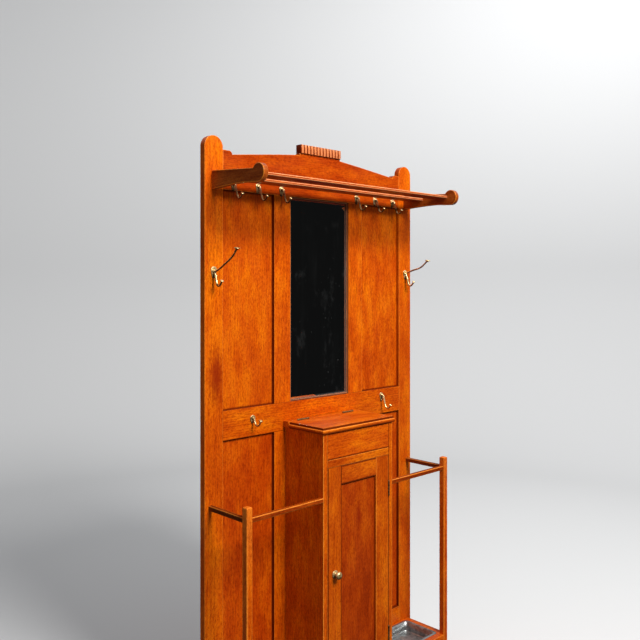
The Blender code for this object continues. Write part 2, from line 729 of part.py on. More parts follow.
def make_stick_stands():
    """A post, two rails and a drip tray on each side of the cupboard."""
    tray = tray_mesh()
    rail_z = (TOP_RAIL_Z - RAIL / 2, TOP_RAIL_Z + RAIL / 2)
    for label, side in SIDES.items():
        near, far = POST_X - POST / 2, POST_X + POST / 2
        post_y = forward(POST_DEPTH - POST / 2, POST_DEPTH + POST / 2)
        board(f"post_{label}", to_side(side, near, far), post_y, (0, POST_TOP), "oak_frame", 0.0025)

        across = to_side(side, SIDE_RAIL_X - RAIL / 2, SIDE_RAIL_X + RAIL / 2)
        span = forward(GAP, POST_DEPTH - POST / 2 - GAP)
        board(f"top_side_rail_{label}", across, span, rail_z, "oak_frame", 0.002)

        across = to_side(side, CUPBOARD_OUTER + GAP, near - GAP)
        span = forward(POST_DEPTH - RAIL / 2, POST_DEPTH + RAIL / 2)
        board(f"top_front_rail_{label}", across, span, rail_z, "oak_frame", 0.002)

        centre = (side * sum(TRAY_X) / 2, FACE - sum(TRAY_DEPTH) / 2, PLATFORM_Z[1] + GAP)
        pan = place(f"drip_tray_{label}", tray, "tray_zinc", centre)
        wall = pan.modifiers.new("sheet", "SOLIDIFY")
        wall.thickness = TRAY_SHEET
        wall.offset = -1
        wall.use_even_offset = True


# ------------------------------------------------------------------ the whole stand
def build():
    make_back()
    make_reeded_block()
    make_hat_shelf()
    make_hooks()
    fixed_leaf = hinge_leaf_mesh("hinge_fixed", 1, (0, 2, 4))
    turning_leaf = hinge_leaf_mesh("hinge_turning", -1, (1, 3))
    sides = make_case()
    make_lid(fixed_leaf, turning_leaf)
    make_door(sides["right"], fixed_leaf, turning_leaf)
    make_platform()
    make_plinth()
    make_stick_stands()


build()
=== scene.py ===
# %% [markdown]
# # An oak hall stand
# A hall stand is a panelled oak back with a long mirror, a slatted hat shelf, brass hooks, a glove box
# over a small cupboard, and a place for sticks on each side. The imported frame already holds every
# solid in its right place and size. This script gives each of them its real surface: eased arrises,
# varnished oak, old brass and silvered glass.

import json
import math

import bmesh
import bpy
from mathutils import Matrix, Vector


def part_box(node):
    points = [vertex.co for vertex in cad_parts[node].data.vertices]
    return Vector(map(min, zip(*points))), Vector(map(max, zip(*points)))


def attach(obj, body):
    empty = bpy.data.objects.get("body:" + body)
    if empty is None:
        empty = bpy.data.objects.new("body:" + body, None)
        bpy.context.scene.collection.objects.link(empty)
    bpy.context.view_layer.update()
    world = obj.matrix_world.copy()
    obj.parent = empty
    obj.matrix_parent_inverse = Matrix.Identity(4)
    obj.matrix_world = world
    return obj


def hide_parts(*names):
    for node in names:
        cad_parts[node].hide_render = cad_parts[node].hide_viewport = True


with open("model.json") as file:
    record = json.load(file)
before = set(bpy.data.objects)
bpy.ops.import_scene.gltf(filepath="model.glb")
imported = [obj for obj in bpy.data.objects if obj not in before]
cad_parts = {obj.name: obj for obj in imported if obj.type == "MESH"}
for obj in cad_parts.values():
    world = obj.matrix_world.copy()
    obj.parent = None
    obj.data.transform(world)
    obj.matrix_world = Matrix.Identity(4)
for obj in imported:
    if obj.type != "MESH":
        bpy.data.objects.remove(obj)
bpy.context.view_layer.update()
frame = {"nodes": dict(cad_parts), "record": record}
BODIES = frame["record"]["behaviour"]["bodies"]
BODY_OF = {node: body for body, members in BODIES.items() for node in members}
SIDES = {"left": -1, "right": 1}
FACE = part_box("stile_left")[0].y

# %% [markdown]
# ## The camera
# The stand is seen at eye height from its left front corner, 44 degrees off its face, with a lens a
# little longer than a normal one. The camera is level, so that the uprights stay upright, and the
# picture is lowered with a shift instead of a tilt.

# %% Camera
EYE_HEIGHT = 1.4155
TO_THE_LEFT = 1.8901
IN_FRONT = 1.9514
TURNED = 44.04
LENS = 43.03
LOWERED = 0.0546875         # a share of the picture's width
camera_data = bpy.data.cameras.new("camera")
camera_data.lens = LENS
camera_data.sensor_width = 36
camera_data.shift_y = -LOWERED
camera = bpy.data.objects.new("camera", camera_data)
camera.location = (-TO_THE_LEFT, FACE - IN_FRONT, EYE_HEIGHT)
camera.rotation_euler = (math.radians(90), 0, math.radians(-TURNED))
bpy.context.scene.collection.objects.link(camera)
bpy.context.scene.camera = camera
print("camera at", [round(value, 2) for value in camera.location])

# %% [markdown]
# ## The studio
# A photographer's cove is a floor that curves up into the wall, so that no line shows behind the
# object. One profile, spun full circle, makes a cove that looks the same from every side. It neither
# shows in reflections nor throws light back: the old mirror should look into a dark room, and the
# sides of the stand should stay deep.

# %% Cove
def link(piece):
    bpy.context.scene.collection.objects.link(piece)
    return piece


def verts_in(geometry):
    """The vertices among the things that an operator made."""
    return [item for item in geometry if isinstance(item, bmesh.types.BMVert)]


def tip_of(swung):
    """The vertex at the loose end of a spin."""
    return verts_in(swung["geom_last"])[0]


def shade_smooth(bm):
    for face in bm.faces:
        face.smooth = True


COVE_RADIUS = 5.0
COVE_BEND = 1.6
COVE_TOP = 5.5
bm = bmesh.new()
foot = bm.verts.new((COVE_RADIUS - COVE_BEND, 0, 0))
bend = bmesh.ops.spin(bm, geom=[foot], cent=(COVE_RADIUS - COVE_BEND, 0, COVE_BEND), axis=(0, -1, 0),
                      dvec=(0, 0, 0), angle=math.radians(90), steps=16, use_duplicate=False)
bm.edges.new((tip_of(bend), bm.verts.new((COVE_RADIUS, 0, COVE_TOP))))
bm.edges.new((bm.verts.new((0, 0, 0)), foot))
bmesh.ops.spin(bm, geom=bm.verts[:] + bm.edges[:], cent=(0, 0, 0), axis=(0, 0, 1), dvec=(0, 0, 0),
               angle=math.radians(360), steps=64, use_merge=True, use_duplicate=False)
bmesh.ops.remove_doubles(bm, verts=bm.verts, dist=0.0001)
bmesh.ops.recalc_face_normals(bm, faces=bm.faces)
shade_smooth(bm)
cove_mesh = bpy.data.meshes.new("studio_cove")
bm.to_mesh(cove_mesh)
bm.free()
cove = link(bpy.data.objects.new("studio_cove", cove_mesh))
cove_grey = bpy.data.materials.new("cove_grey")
cove_grey.use_nodes = True
cove_grey.node_tree.nodes["Principled BSDF"].inputs["Base Color"].default_value = (0.70, 0.705, 0.71, 1)
cove_grey.node_tree.nodes["Principled BSDF"].inputs["Roughness"].default_value = 0.9
cove_mesh.materials.append(cove_grey)
cove.visible_glossy = False
cove.visible_diffuse = False
print("cove:", len(cove_mesh.polygons), "faces")

# %% [markdown]
# ## The light
# One large soft light stands high in front, so the front faces are bright and the sides that face left
# stay deep. A weak second light opens the shadows, and a third one behind shapes the wall. Metal needs
# something to reflect, so for glossy rays the air is pale overhead, and dark at the level of the mirror.

# %% Lights
def soft_light(name, place, aim, size, power, colour=(1, 1, 1)):
    data = bpy.data.lights.new(name, "AREA")
    data.shape = "DISK"
    data.size = size
    data.energy = power
    data.color = colour
    lamp = link(bpy.data.objects.new(name, data))
    lamp.location = place
    lamp.rotation_euler = (Vector(aim) - Vector(place)).to_track_quat("-Z", "Y").to_euler()
    return lamp


soft_light("key_light", (-0.15, -3.0, 3.8), (0, 0, 1.1), 1.6, 248, (1.0, 0.985, 0.96))
soft_light("fill_light", (-4.0, -1.2, 2.2), (0, 0, 1.0), 2.5, 4)
soft_light("wall_light", (2.4, 0.4, 4.4), (4.4, 3.0, 1.2), 3.4, 108)

DARK_AIR = 0.008
PALE_AIR = 0.75
world = bpy.data.worlds.new("studio_air")
bpy.context.scene.world = world
world.use_nodes = True
nodes, links = world.node_tree.nodes, world.node_tree.links
pale = nodes["Background"]
pale.inputs["Color"].default_value = (0.80, 0.82, 0.85, 1)
pale.inputs["Strength"].default_value = 0.30
mirrored = nodes.new("ShaderNodeBackground")
direction = nodes.new("ShaderNodeTexCoord")
split = nodes.new("ShaderNodeSeparateXYZ")
links.new(direction.outputs["Generated"], split.inputs["Vector"])
fade = nodes.new("ShaderNodeMapRange")
fade.interpolation_type = "SMOOTHSTEP"
for socket, value in (("From Min", 0.22), ("From Max", 0.62), ("To Min", DARK_AIR), ("To Max", PALE_AIR)):
    fade.inputs[socket].default_value = value
links.new(split.outputs["Z"], fade.inputs["Value"])
links.new(fade.outputs["Result"], mirrored.inputs["Strength"])
path = nodes.new("ShaderNodeLightPath")
mix = nodes.new("ShaderNodeMixShader")
links.new(path.outputs["Is Glossy Ray"], mix.inputs["Fac"])
links.new(pale.outputs["Background"], mix.inputs[1])
links.new(mirrored.outputs["Background"], mix.inputs[2])
links.new(mix.outputs["Shader"], nodes["World Output"].inputs["Surface"])
bpy.context.scene.view_settings.view_transform = "Standard"

# %% [markdown]
# ## A kit for materials
# Every finish below is a small graph of nodes. A class with short names for the usual nodes keeps each
# finish readable: noise, a stretched place, a rescaled band, a colour ramp and a blend.

# %% A small kit for material nodes
class Graph:
    """Short names for the shader nodes that the finishes need."""

    def __init__(self, name):
        self.material = bpy.data.materials.new(name)
        self.material.use_nodes = True
        self.nodes = self.material.node_tree.nodes
        self.links = self.material.node_tree.links
        self.shader = self.nodes["Principled BSDF"]

    def add(self, kind, **settings):
        node = self.nodes.new(kind)
        for key, value in settings.items():
            setattr(node, key, value)
        return node

    def put(self, socket, value):
        """Link a socket to a socket, or set a colour or a number on it."""
        if isinstance(value, bpy.types.NodeSocket):
            self.links.new(value, socket)
        elif isinstance(value, tuple) and socket.type == "RGBA":
            socket.default_value = (*value, 1)
        else:
            socket.default_value = value

    def feed(self, node, **values):
        """Set inputs by name, where an underscore stands for a space."""
        for key, value in values.items():
            self.put(node.inputs[key.replace("_", " ")], value)
        return node

    def place(self):
        """Where a point lies in the piece's own space, in metres."""
        return self.add("ShaderNodeTexCoord").outputs["Object"]

    def math(self, operation, first, second=0.0):
        node = self.add("ShaderNodeMath", operation=operation)
        self.put(node.inputs[0], first)
        self.put(node.inputs[1], second)
        return node.outputs[0]

    def noise(self, vector, scale, detail=3.0, roughness=0.5):
        node = self.add("ShaderNodeTexNoise")
        self.feed(node, Vector=vector, Scale=scale, Detail=detail, Roughness=roughness)
        return node.outputs["Fac"]

    def stretched(self, vector, scale, shift=(0, 0, 0)):
        node = self.add("ShaderNodeMapping")
        self.feed(node, Vector=vector, Scale=scale, Location=shift)
        return node.outputs["Vector"]

    def band(self, value, low, high, to_low=0.0, to_high=1.0):
        """Rescale a value between two limits, with soft ends."""
        node = self.add("ShaderNodeMapRange", interpolation_type="SMOOTHSTEP")
        self.feed(node, Value=value, From_Min=low, From_Max=high, To_Min=to_low, To_Max=to_high)
        return node.outputs["Result"]

    def ramp(self, value, stops):
        node = self.add("ShaderNodeValToRGB")
        elements = node.color_ramp.elements
        while len(elements) < len(stops):
            elements.new(0.5)
        for element, (position, colour) in zip(elements, stops):
            element.position = position
            element.color = (*colour, 1)
        self.links.new(value, node.inputs["Fac"])
        return node.outputs["Color"]

    def blend(self, factor, first, second, mode="MIX"):
        node = self.add("ShaderNodeMix", data_type="RGBA", blend_type=mode)
        for index, value in ((0, factor), (6, first), (7, second)):
            self.put(node.inputs[index], value)
        return node.outputs[2]

    def attribute(self, name):
        return self.add("ShaderNodeAttribute", attribute_name=name).outputs["Fac"]

    def bump(self, height, strength, distance):
        node = self.add("ShaderNodeBump")
        self.feed(node, Height=height, Strength=strength, Distance=distance)
        self.links.new(node.outputs["Normal"], self.shader.inputs["Normal"])


print("material kit ready")

# %% [markdown]
# ## Golden oak
# Oak shows its grain at several sizes: broad patches where the stain has taken more or less, mottled
# flecks as large as a finger nail, fine streaks as long as a finger, and short dark pores. All of it is
# a solid pattern in the board's own space, so that the face, the edge and the end of one board agree.
# Each board gets its own shift, or neighbours would look sawn from one sheet.
#
# The varnish is a thin clear coat over the colour. Two attributes on the mesh steer the finish: *arris*
# is 1 along a rounded edge, which is painted pale, partly as worn stain and partly as a painted
# highlight; a second attribute is 1 where a panel meets its frame, in reveals and gaps and under a
# ledge, which is painted dark, partly as old varnish and partly as painted shade. A stain is an oval
# patch where the varnish went redder.

# %% Oak
ALONG_GRAIN = {"X": (0, math.radians(-90), 0), "Y": (math.radians(90), 0, 0), "Z": (0, 0, 0)}
TONES = {
    "frame": ((0.500, 0.062, 0.0010), (0.640, 0.106, 0.0014), (0.770, 0.175, 0.0020)),
    "panel": ((0.480, 0.056, 0.0010), (0.610, 0.096, 0.0014), (0.750, 0.165, 0.0020)),
    "crest": ((0.300, 0.028, 0.0010), (0.415, 0.048, 0.0014), (0.530, 0.086, 0.0020)),
    "cupboard": ((0.440, 0.056, 0.0010), (0.580, 0.098, 0.0016), (0.720, 0.165, 0.0024)),
    # The lower panels are darker: painted shade for the weaker light low down.
    "low": ((0.410, 0.038, 0.0010), (0.520, 0.064, 0.0014), (0.650, 0.112, 0.0020)),
    # Side rails of the stick stands, painted dark as painted shade.
    "painted_shade": ((0.090, 0.013, 0.0020), (0.150, 0.027, 0.0040), (0.230, 0.050, 0.0070)),
    # Front rails, darker, partly their own colour and partly painted shade.
    "rail": ((0.200, 0.022, 0.0012), (0.330, 0.042, 0.0018), (0.480, 0.085, 0.0030)),
    "bracket": ((0.200, 0.030, 0.0040), (0.330, 0.064, 0.0070), (0.440, 0.108, 0.0130)),
}
# Pale colours for rounded edges, which stand for worn stain and for a painted highlight, the second one
# pinker. The dark one serves for the pores and for painted shade at joints and under ledges.
RUBBED_AND_GLINT = (0.86, 0.27, 0.030)
PALE_RUB_AND_HIGHLIGHT = (0.86, 0.38, 0.150)
BURNT = (0.120, 0.010, 0.0008)
RED_STAIN = (0.240, 0.016, 0.001)
CLEAR_GRAIN = (1.08, 1.16, 1.2)
HALF_GRAIN = (0.86, 0.77, 0.72)
DARK_GRAIN = (0.50, 0.34, 0.28)
boards_cut = 0


def oak(name, grain="Z", tone="frame", heart=0.0, wear=0.5, rub=RUBBED_AND_GLINT, stain=None):
    """Varnished oak with its grain along one axis. Heart above 0 bends the growth rings into arches."""
    global boards_cut
    boards_cut += 1
    deep, middle, pale = TONES[tone]
    g = Graph(name)
    turned = g.add("ShaderNodeMapping")
    shift = (0.37 * boards_cut % 1.9, 0.53 * boards_cut % 2.3, 0.71 * boards_cut % 3.1)
    g.feed(turned, Vector=g.place(), Rotation=ALONG_GRAIN[grain], Location=shift)
    wood = turned.outputs["Vector"]

    drift = g.noise(g.stretched(wood, (17, 17, 5.5)), 1.0, 4.0, 0.62)
    mottle = g.noise(g.stretched(wood, (190, 190, 90)), 1.0, 5.0, 0.75)
    streak = g.noise(g.stretched(wood, (460, 460, 18)), 1.0, 3.0, 0.65)
    pore = g.noise(g.stretched(wood, (800, 800, 110)), 1.0, 2.0, 0.6)
    rings = g.add("ShaderNodeTexWave", wave_type="RINGS", rings_direction="Z", wave_profile="SAW")
    tilt = g.add("ShaderNodeMapping")
    g.feed(tilt, Vector=wood, Rotation=(0.03 + heart, 0.02, 0), Location=(0.11, 0.07, 0))
    g.feed(rings, Vector=g.stretched(tilt.outputs["Vector"], (1, 1, 0.05)), Scale=46.0, Distortion=6.0,
           Detail=3.0, Detail_Scale=0.3, Detail_Roughness=0.6)

    colour = g.ramp(g.band(drift, 0.26, 0.76), [(0.0, deep), (0.48, middle), (1.0, pale)])
    figure = g.math("ADD", g.math("MULTIPLY", mottle, 0.60), g.math("MULTIPLY", streak, 0.38))
    figure = g.math("ADD", figure, g.math("MULTIPLY", rings.outputs["Fac"], 0.05))
    shade = g.ramp(g.band(figure, 0.36, 0.68), [(0.0, DARK_GRAIN), (0.45, HALF_GRAIN), (1.0, CLEAR_GRAIN)])
    colour = g.blend(1.0, colour, shade, "MULTIPLY")
    pores = g.band(pore, 0.60, 0.70)
    colour = g.blend(g.math("MULTIPLY", pores, 0.36), colour, BURNT)
    if stain:
        centre, half = stain
        scale = tuple(1 / size for size in half)
        shifted = tuple(-place * size for place, size in zip(centre, scale))
        length = g.add("ShaderNodeVectorMath", operation="LENGTH")
        g.feed(length, Vector=g.stretched(g.place(), scale, shifted))
        edge = g.math("ADD", length.outputs["Value"], g.math("MULTIPLY", mottle, 0.9))
        edge = g.math("ADD", edge, g.math("MULTIPLY", streak, 0.5))
        colour = g.blend(g.band(edge, 0.75, 1.85, 0.92, 0.0), colour, RED_STAIN)
    # Rounded edges are painted pale: worn stain, and a painted highlight where an edge would catch the
    # light.
    rubbed = g.math("ADD", g.attribute("arris"), g.math("MULTIPLY", mottle, 0.6))
    colour = g.blend(g.band(rubbed, 0.85, 1.45, 0.0, wear), colour, rub)
    # Joints, reveals and undersides are painted dark: old varnish and dirt, and painted shade.
    dirt_and_shade = g.math("ADD", g.attribute("grime_and_shade"), g.math("MULTIPLY", drift, 0.3))
    colour = g.blend(g.band(dirt_and_shade, 0.20, 1.05, 0.0, 0.92), colour, BURNT)

    g.bump(g.math("SUBTRACT", g.math("MULTIPLY", streak, 0.5), pores), 0.22, 0.0004)
    rough = g.band(g.noise(g.stretched(wood, (24, 24, 9)), 1.0, 3.0), 0.35, 0.7, 0.28, 0.44)
    g.feed(g.shader, Base_Color=colour, Roughness=rough, Coat_Weight=0.10, Coat_Roughness=0.16)
    g.feed(g.shader, Specular_IOR_Level=0.30, Specular_Tint=(1.0, 0.42, 0.12))
    return g.material


print("oak in", len(TONES), "tones")

# %% [markdown]
# ## Straight boards
# Every board in the stand has been planed square and its long arrises taken off with a few strokes of
# abrasive, while its ends stay square, because they butt against a neighbour. So each board starts as
# its end: a flat square whose corners are rounded, cut by four lines a little inside its outline. Drawn
# out along the grain, it has flat faces, round arrises and a narrow strip beside each of them, which
# carries the *arris* attribute and keeps the shading of the faces flat. The sides that face a panel or
# a gap are painted dark, partly for old polish and dust and partly as painted shade in the reveal or
# the gap: they get the attribute for grime and shade, and where two boards nearly touch, a lip of it
# shows on the front as well, as a painted shadow line.

# %% Finished pieces and straight boards
OUT_OF_Z = {
    "X": Matrix(((0, 0, 1), (1, 0, 0), (0, 1, 0))),
    "Y": Matrix(((0, 1, 0), (0, 0, 1), (1, 0, 0))),
    "Z": Matrix.Identity(3),
}
ARRIS = 0.0009
STRIP = 0.0035


def piece(name, bm, material, node=None, body=None, slot=None):
    """Turn a bmesh into a finished piece that rides on its body and stands for its node."""
    mesh = bpy.data.meshes.new(name)
    bm.to_mesh(mesh)
    bm.free()
    mesh.materials.append(material)
    made = link(bpy.data.objects.new(name, mesh))
    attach(made, body or BODY_OF[node])
    if node:
        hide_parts(node)
    return made


def oak_piece(node, ending, bm, grain, tone="frame", **finish):
    """A piece in oak of its own, which stands for its node."""
    return piece(f"{node}_{ending}", bm, oak(f"oak_{node}", grain, tone, **finish), node)


def fresh(things, others):
    """The things that weren't there before, in the mesh's own order."""
    return [thing for thing in things if thing not in others]


def corners_of(faces):
    return list(dict.fromkeys(vert for face in faces for vert in face.verts))


def parts_of(faces):
    """The faces given, with their edges and vertices."""
    return [*faces, *dict.fromkeys(edge for face in faces for edge in face.edges), *corners_of(faces)]


def draw_out(bm, faces, shift):
    """Draw faces out by a shift, and give back the faces and the vertices at the far end."""
    drawn = bmesh.ops.extrude_face_region(bm, geom=faces)["geom"]
    verts = verts_in(drawn)
    bmesh.ops.translate(bm, vec=shift, verts=verts)
    return [item for item in drawn if isinstance(item, bmesh.types.BMFace)], verts


def round_over(bm, edges, width, segments):
    """Round edges with a bevel."""
    return bmesh.ops.bevel(bm, geom=edges, offset=width, offset_type="OFFSET", segments=segments,
                           profile=0.5, affect="EDGES", clamp_overlap=True, material=-1)


def scale_about(bm, verts, factors, spot):
    """Scale in the plane of the floor, about the upright line through a spot."""
    bmesh.ops.scale(bm, vec=(*factors, 1), verts=verts, space=Matrix.Translation((-spot.x, -spot.y, 0)))


def flat_sheet(bm, wide, long):
    """One square face round the origin, facing up."""
    corners = bmesh.ops.create_grid(bm, x_segments=1, y_segments=1, size=0.5)["verts"]
    bmesh.ops.scale(bm, vec=(wide, long, 1), verts=corners)
    return corners


AWAY = {"-X": (-1, 0, 0), "+X": (1, 0, 0), "-Z": (0, 0, -1), "+Z": (0, 0, 1)}


def vertex_value(bm, name):
    """A number on every vertex, which a material can read."""
    return bm.verts.layers.float.get(name) or bm.verts.layers.float.new(name)


def wear_values(bm):
    """Both of the numbers that the oak reads: one for pale edges, worn and painted highlight, one for dirt
    and painted shade.
    """
    for name in ("arris", "grime_and_shade"):
        vertex_value(bm, name)
    return vertex_value(bm, "arris"), vertex_value(bm, "grime_and_shade")


def draw_board(bm, low, high, grain, width=ARRIS, strip=STRIP, dark=(), lip=0.0):
    """Draw one board along its grain, with rounded long arrises and dirt and painted shade on the named
    sides.
    """
    arris, grime_and_shade = wear_values(bm)
    turn = OUT_OF_Z[grain]
    size = turn.transposed() @ (high - low)
    others = set(bm.faces)
    corners = flat_sheet(bm, size.x, size.y)
    bmesh.ops.bevel(bm, geom=corners, offset=width, offset_type="OFFSET", segments=3, profile=0.5,
                    affect="VERTICES", material=-1)
    for vert in corners_of(fresh(bm.faces, others)):
        vert[arris] = 1
    for axis in (0, 1):
        for side in (-1, 1):
            spot, normal = Vector(), Vector()
            spot[axis] = side * (size[axis] / 2 - min(width + strip, 0.35 * size[axis]))
            normal[axis] = 1
            cut = bmesh.ops.bisect_plane(bm, geom=parts_of(fresh(bm.faces, others)), dist=0.00001,
                                         plane_co=spot, plane_no=normal)
            for vert in verts_in(cut["geom_cut"]):
                vert[arris] = 0
    section = fresh(bm.faces, others)
    for vert in corners_of(section):
        for name in dark:
            outward = turn.transposed() @ Vector(AWAY[name])
            inside = size.dot(Vector(abs(part) for part in outward)) / 2 - vert.co.dot(outward)
            if inside < width + 0.00001:
                vert[grime_and_shade] = max(vert[grime_and_shade], 1 + (lip - 1) * max(inside, 0) / width)
    draw_out(bm, section, (0, 0, size.z))
    faces = fresh(bm.faces, others)
    bmesh.ops.recalc_face_normals(bm, faces=faces)
    for face in faces:
        face.normal_update()
        face.smooth = abs(face.normal.z) < 0.5
        for edge in face.edges:
            edge.smooth = len({abs(side.normal.z) < 0.5 for side in edge.link_faces}) == 1
    start = (low + high) / 2 - turn @ Vector((0, 0, size.z / 2))
    bmesh.ops.transform(bm, matrix=Matrix.Translation(start) @ turn.to_4x4(), verts=corners_of(faces))


def board(node, grain, tone="frame", width=ARRIS, strip=STRIP, dark=(), lip=0.0, **finish):
    """A straight board in place of a node."""
    bm = bmesh.new()
    draw_board(bm, *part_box(node), grain, width, strip, dark, lip)
    return oak_piece(node, "board", bm, grain, tone, **finish)


# %% Boards of the back, the cupboard and its door
# Sides that face a panel or a gap are painted dark: dirt, and painted shade in the reveals and gaps.
for label in SIDES:
    board(f"upper_muntin_{label}", "Z", dark=("-X", "+X"))
    board(f"lower_muntin_{label}", "Z", dark=("-X", "+X"))
    # A lip of the dark shows on the front of each cupboard side as a painted shadow line, stronger on the
    # right.
    inner, shade = (("+X",), 0.4) if label == "left" else (("-X",), 1.0)
    board(f"cupboard_side_{label}", "Z", "frame", 0.0013, dark=inner, lip=shade, wear=0.9)
    # The door's boards and the fascia get wide dark edges: painted shadow lines along their gaps.
    board(f"door_stile_{label}", "Z", "cupboard", 0.0014, 0.005, ("-X", "+X"), 1.0)
for node in ("mid_rail", "bottom_rail"):
    board(node, "X", dark=("-Z", "+Z"), lip=0.3)
board("glove_box_front", "X", "frame", 0.0014, 0.005, ("-Z", "+Z"), 1.0)
for node in ("door_rail_top", "door_rail_bottom"):
    board(node, "X", "cupboard", 0.0014, 0.005, ("-Z", "+Z"), 1.0)
board("lid_hinge_strip", "X", "cupboard")
print("straight boards:", boards_cut)

# %% [markdown]
# ## Slats, rails and posts
# The slats of the hat shelf are thin and well rounded, and their edges are painted pale: rubbed by
# hats and hands, and a painted highlight.
# The rails of the stick stands are square bars of the same kind. A post is drawn like a board, and its
# top is then drawn out three times more, each time a little narrower, which makes the low dome that
# keeps a hand from a sharp corner.

# %% Slats, rails and posts
for label in ("front", "back"):
    board(f"shelf_slat_{label}", "X", "crest", 0.0022, wear=0.9, rub=PALE_RUB_AND_HIGHLIGHT)
# The rails are darker than the frame: painted shade, and the front rails partly their own colour.
for label in SIDES:
    board(f"top_side_rail_{label}", "Y", "painted_shade", 0.0018, dark=("-Z",), lip=0.6)
    board(f"top_front_rail_{label}", "X", "rail", 0.0018, dark=("-Z",), lip=0.6, wear=0.8)
DOME = ((0.0016, 0.93), (0.0016, 0.78), (0.0010, 0.45))      # each step's rise, and how much it narrows
DOME_HEIGHT = sum(rise for rise, share in DOME)
for label in SIDES:
    node = f"post_{label}"
    low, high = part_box(node)
    bm = bmesh.new()
    draw_board(bm, low, high - Vector((0, 0, DOME_HEIGHT)), "Z", 0.0022)
    middle = (low + high) / 2
    arris = vertex_value(bm, "arris")
    top = [face for face in bm.faces if face.normal.z > 0.9 and face.calc_center_median().z > middle.z]
    for rise, share in DOME:
        top, verts = draw_out(bm, top, (0, 0, rise))
        scale_about(bm, verts, (share, share), middle)
    # The dome is painted pale: worn by hands, and a painted highlight on its top.
    for vert in bm.verts:
        if vert.co.z > high.z - DOME_HEIGHT - 0.0001:
            vert[arris] = 0.85
    for face in bm.faces:
        if face.calc_center_median().z > high.z - DOME_HEIGHT:
            face.smooth = True
    oak_piece(node, "domed", bm, "Z", wear=0.7)
print("slats, rails and posts done, boards so far:", boards_cut)

# %% [markdown]
# ## Panels
# A panel is a thin board whose edges sit in grooves. Its visible field ends at the frame, so the mesh
# gets one inset at the groove's mouth and a second a little further in, and the attribute for grime
# and shade falls from 1 to 0 between them: a dark edge that is partly dirt and partly painted shade
# from the frame. The panels are sawn through and through, so their rings rise in arches, and the
# door's panel has a red heart.

# %% Panels
TONGUE = 0.006
HALO = 0.008                # how far the dark edge reaches into the field


def box_of(bm, low, high):
    """A cube stretched between two corners."""
    made = bmesh.ops.create_cube(bm, size=1)["verts"]
    bmesh.ops.scale(bm, vec=high - low, verts=made)
    bmesh.ops.translate(bm, vec=(low + high) / 2, verts=made)


def panel(node, tone, **finish):
    """A thin board whose field is darkened along the groove: dirt and painted shade from the frame."""
    bm = bmesh.new()
    box_of(bm, *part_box(node))
    grime_and_shade = vertex_value(bm, "grime_and_shade")
    for vert in bm.verts:
        vert[grime_and_shade] = 1
    broad = [face for face in bm.faces if abs(face.normal.y) > 0.9]
    for depth, value in ((TONGUE, 1), (HALO, 0)):
        bmesh.ops.inset_individual(bm, faces=broad, thickness=depth, use_even_offset=True)
        for vert in corners_of(broad):
            vert[grime_and_shade] = value
    return oak_piece(node, "field", bm, "Z", tone, **finish)


for label in SIDES:
    panel(f"upper_panel_{label}", "panel", heart=0.02)
    panel(f"lower_panel_{label}", "low")
panel("cupboard_back", "panel")
low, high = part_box("door_panel")
DOOR_HEART = ((0.004, FACE, high.z - 0.13), (0.017, 1.0, 0.075))
panel("door_panel", "crest", heart=0.07, stain=DOOR_HEART)
print("six panels")

# %% [markdown]
# ## Shaped boards
# The crest, the stiles, the shelf brackets, the plinth and the reeded block are sawn to an outline.
# A small class draws such an outline as a joiner would, with a rule and a compass: straight lines to
# named points, and arcs swung with the spin operator. The closed outline is filled, extruded by the
# thickness of the board, and its arrises are rounded with a bevel.

# %% A rule and a compass
SHARP = math.radians(30)


class Outline:
    """A closed outline in the plane Y = 0, seen from the front."""

    def __init__(self, across, up):
        self.bm = bmesh.new()
        self.first = self.tip = self.bm.verts.new((across, 0, up))

    def line(self, *points):
        for across, up in points:
            corner = self.bm.verts.new((across, 0, up))
            self.bm.edges.new((self.tip, corner))
            self.tip = corner
        return self

    def arc(self, across, up, turn, steps):
        """Swing the tip round a centre. A positive turn is anticlockwise."""
        swung = bmesh.ops.spin(self.bm, geom=[self.tip], cent=(across, 0, up), axis=(0, -1, 0),
                               dvec=(0, 0, 0), angle=math.radians(turn), steps=steps, use_duplicate=False)
        self.tip = tip_of(swung)
        return self

    def extrude(self, start, thickness):
        """Close and fill the outline, and give it its thickness along +Y."""
        self.bm.edges.new((self.tip, self.first))
        bmesh.ops.remove_doubles(self.bm, verts=self.bm.verts, dist=0.00001)
        filled = bmesh.ops.contextual_create(self.bm, geom=self.bm.edges[:])["faces"]
        bmesh.ops.translate(self.bm, vec=(0, start, 0), verts=self.bm.verts)
        draw_out(self.bm, filled, (0, thickness, 0))
        bmesh.ops.recalc_face_normals(self.bm, faces=self.bm.faces)
        return self.bm


def soften(bm, width=ARRIS, strip=STRIP):
    """Round the sharp edges, and mark them and a strip beside them to be painted pale: rubbed, and a
    painted highlight.
    """
    arris = vertex_value(bm, "arris")
    sharp = [edge for edge in bm.edges if edge.is_manifold and edge.calc_face_angle() > SHARP]
    rounded = set(round_over(bm, sharp, width, 3)["faces"])
    for vert in bm.verts:
        vert[arris] = 1
    waiting = dict.fromkeys(fresh(bm.faces, rounded))
    while waiting:
        region = [waiting.popitem()[0]]
        for face in region:
            for edge in face.edges:
                for other in edge.link_faces:
                    if other in waiting:
                        del waiting[other]
                        region.append(other)
        narrow = min(face.calc_area() / max(edge.calc_length() for edge in face.edges) for face in region)
        bmesh.ops.inset_region(bm, faces=region, thickness=min(strip, 0.3 * narrow), use_even_offset=True,
                               use_boundary=True)
        for vert in corners_of(region):
            vert[arris] = 0
    shade_smooth(bm)
    return bm


print("edges sharper than", round(math.degrees(SHARP)), "degrees are rounded")

# %% [markdown]
# ## Stiles and crest
# Each stile is a plain plank with a half-round top. The crest rail between them has a quarter-round ear
# at each end, and rises in a shallow gable to a flat pad for the reeded block.

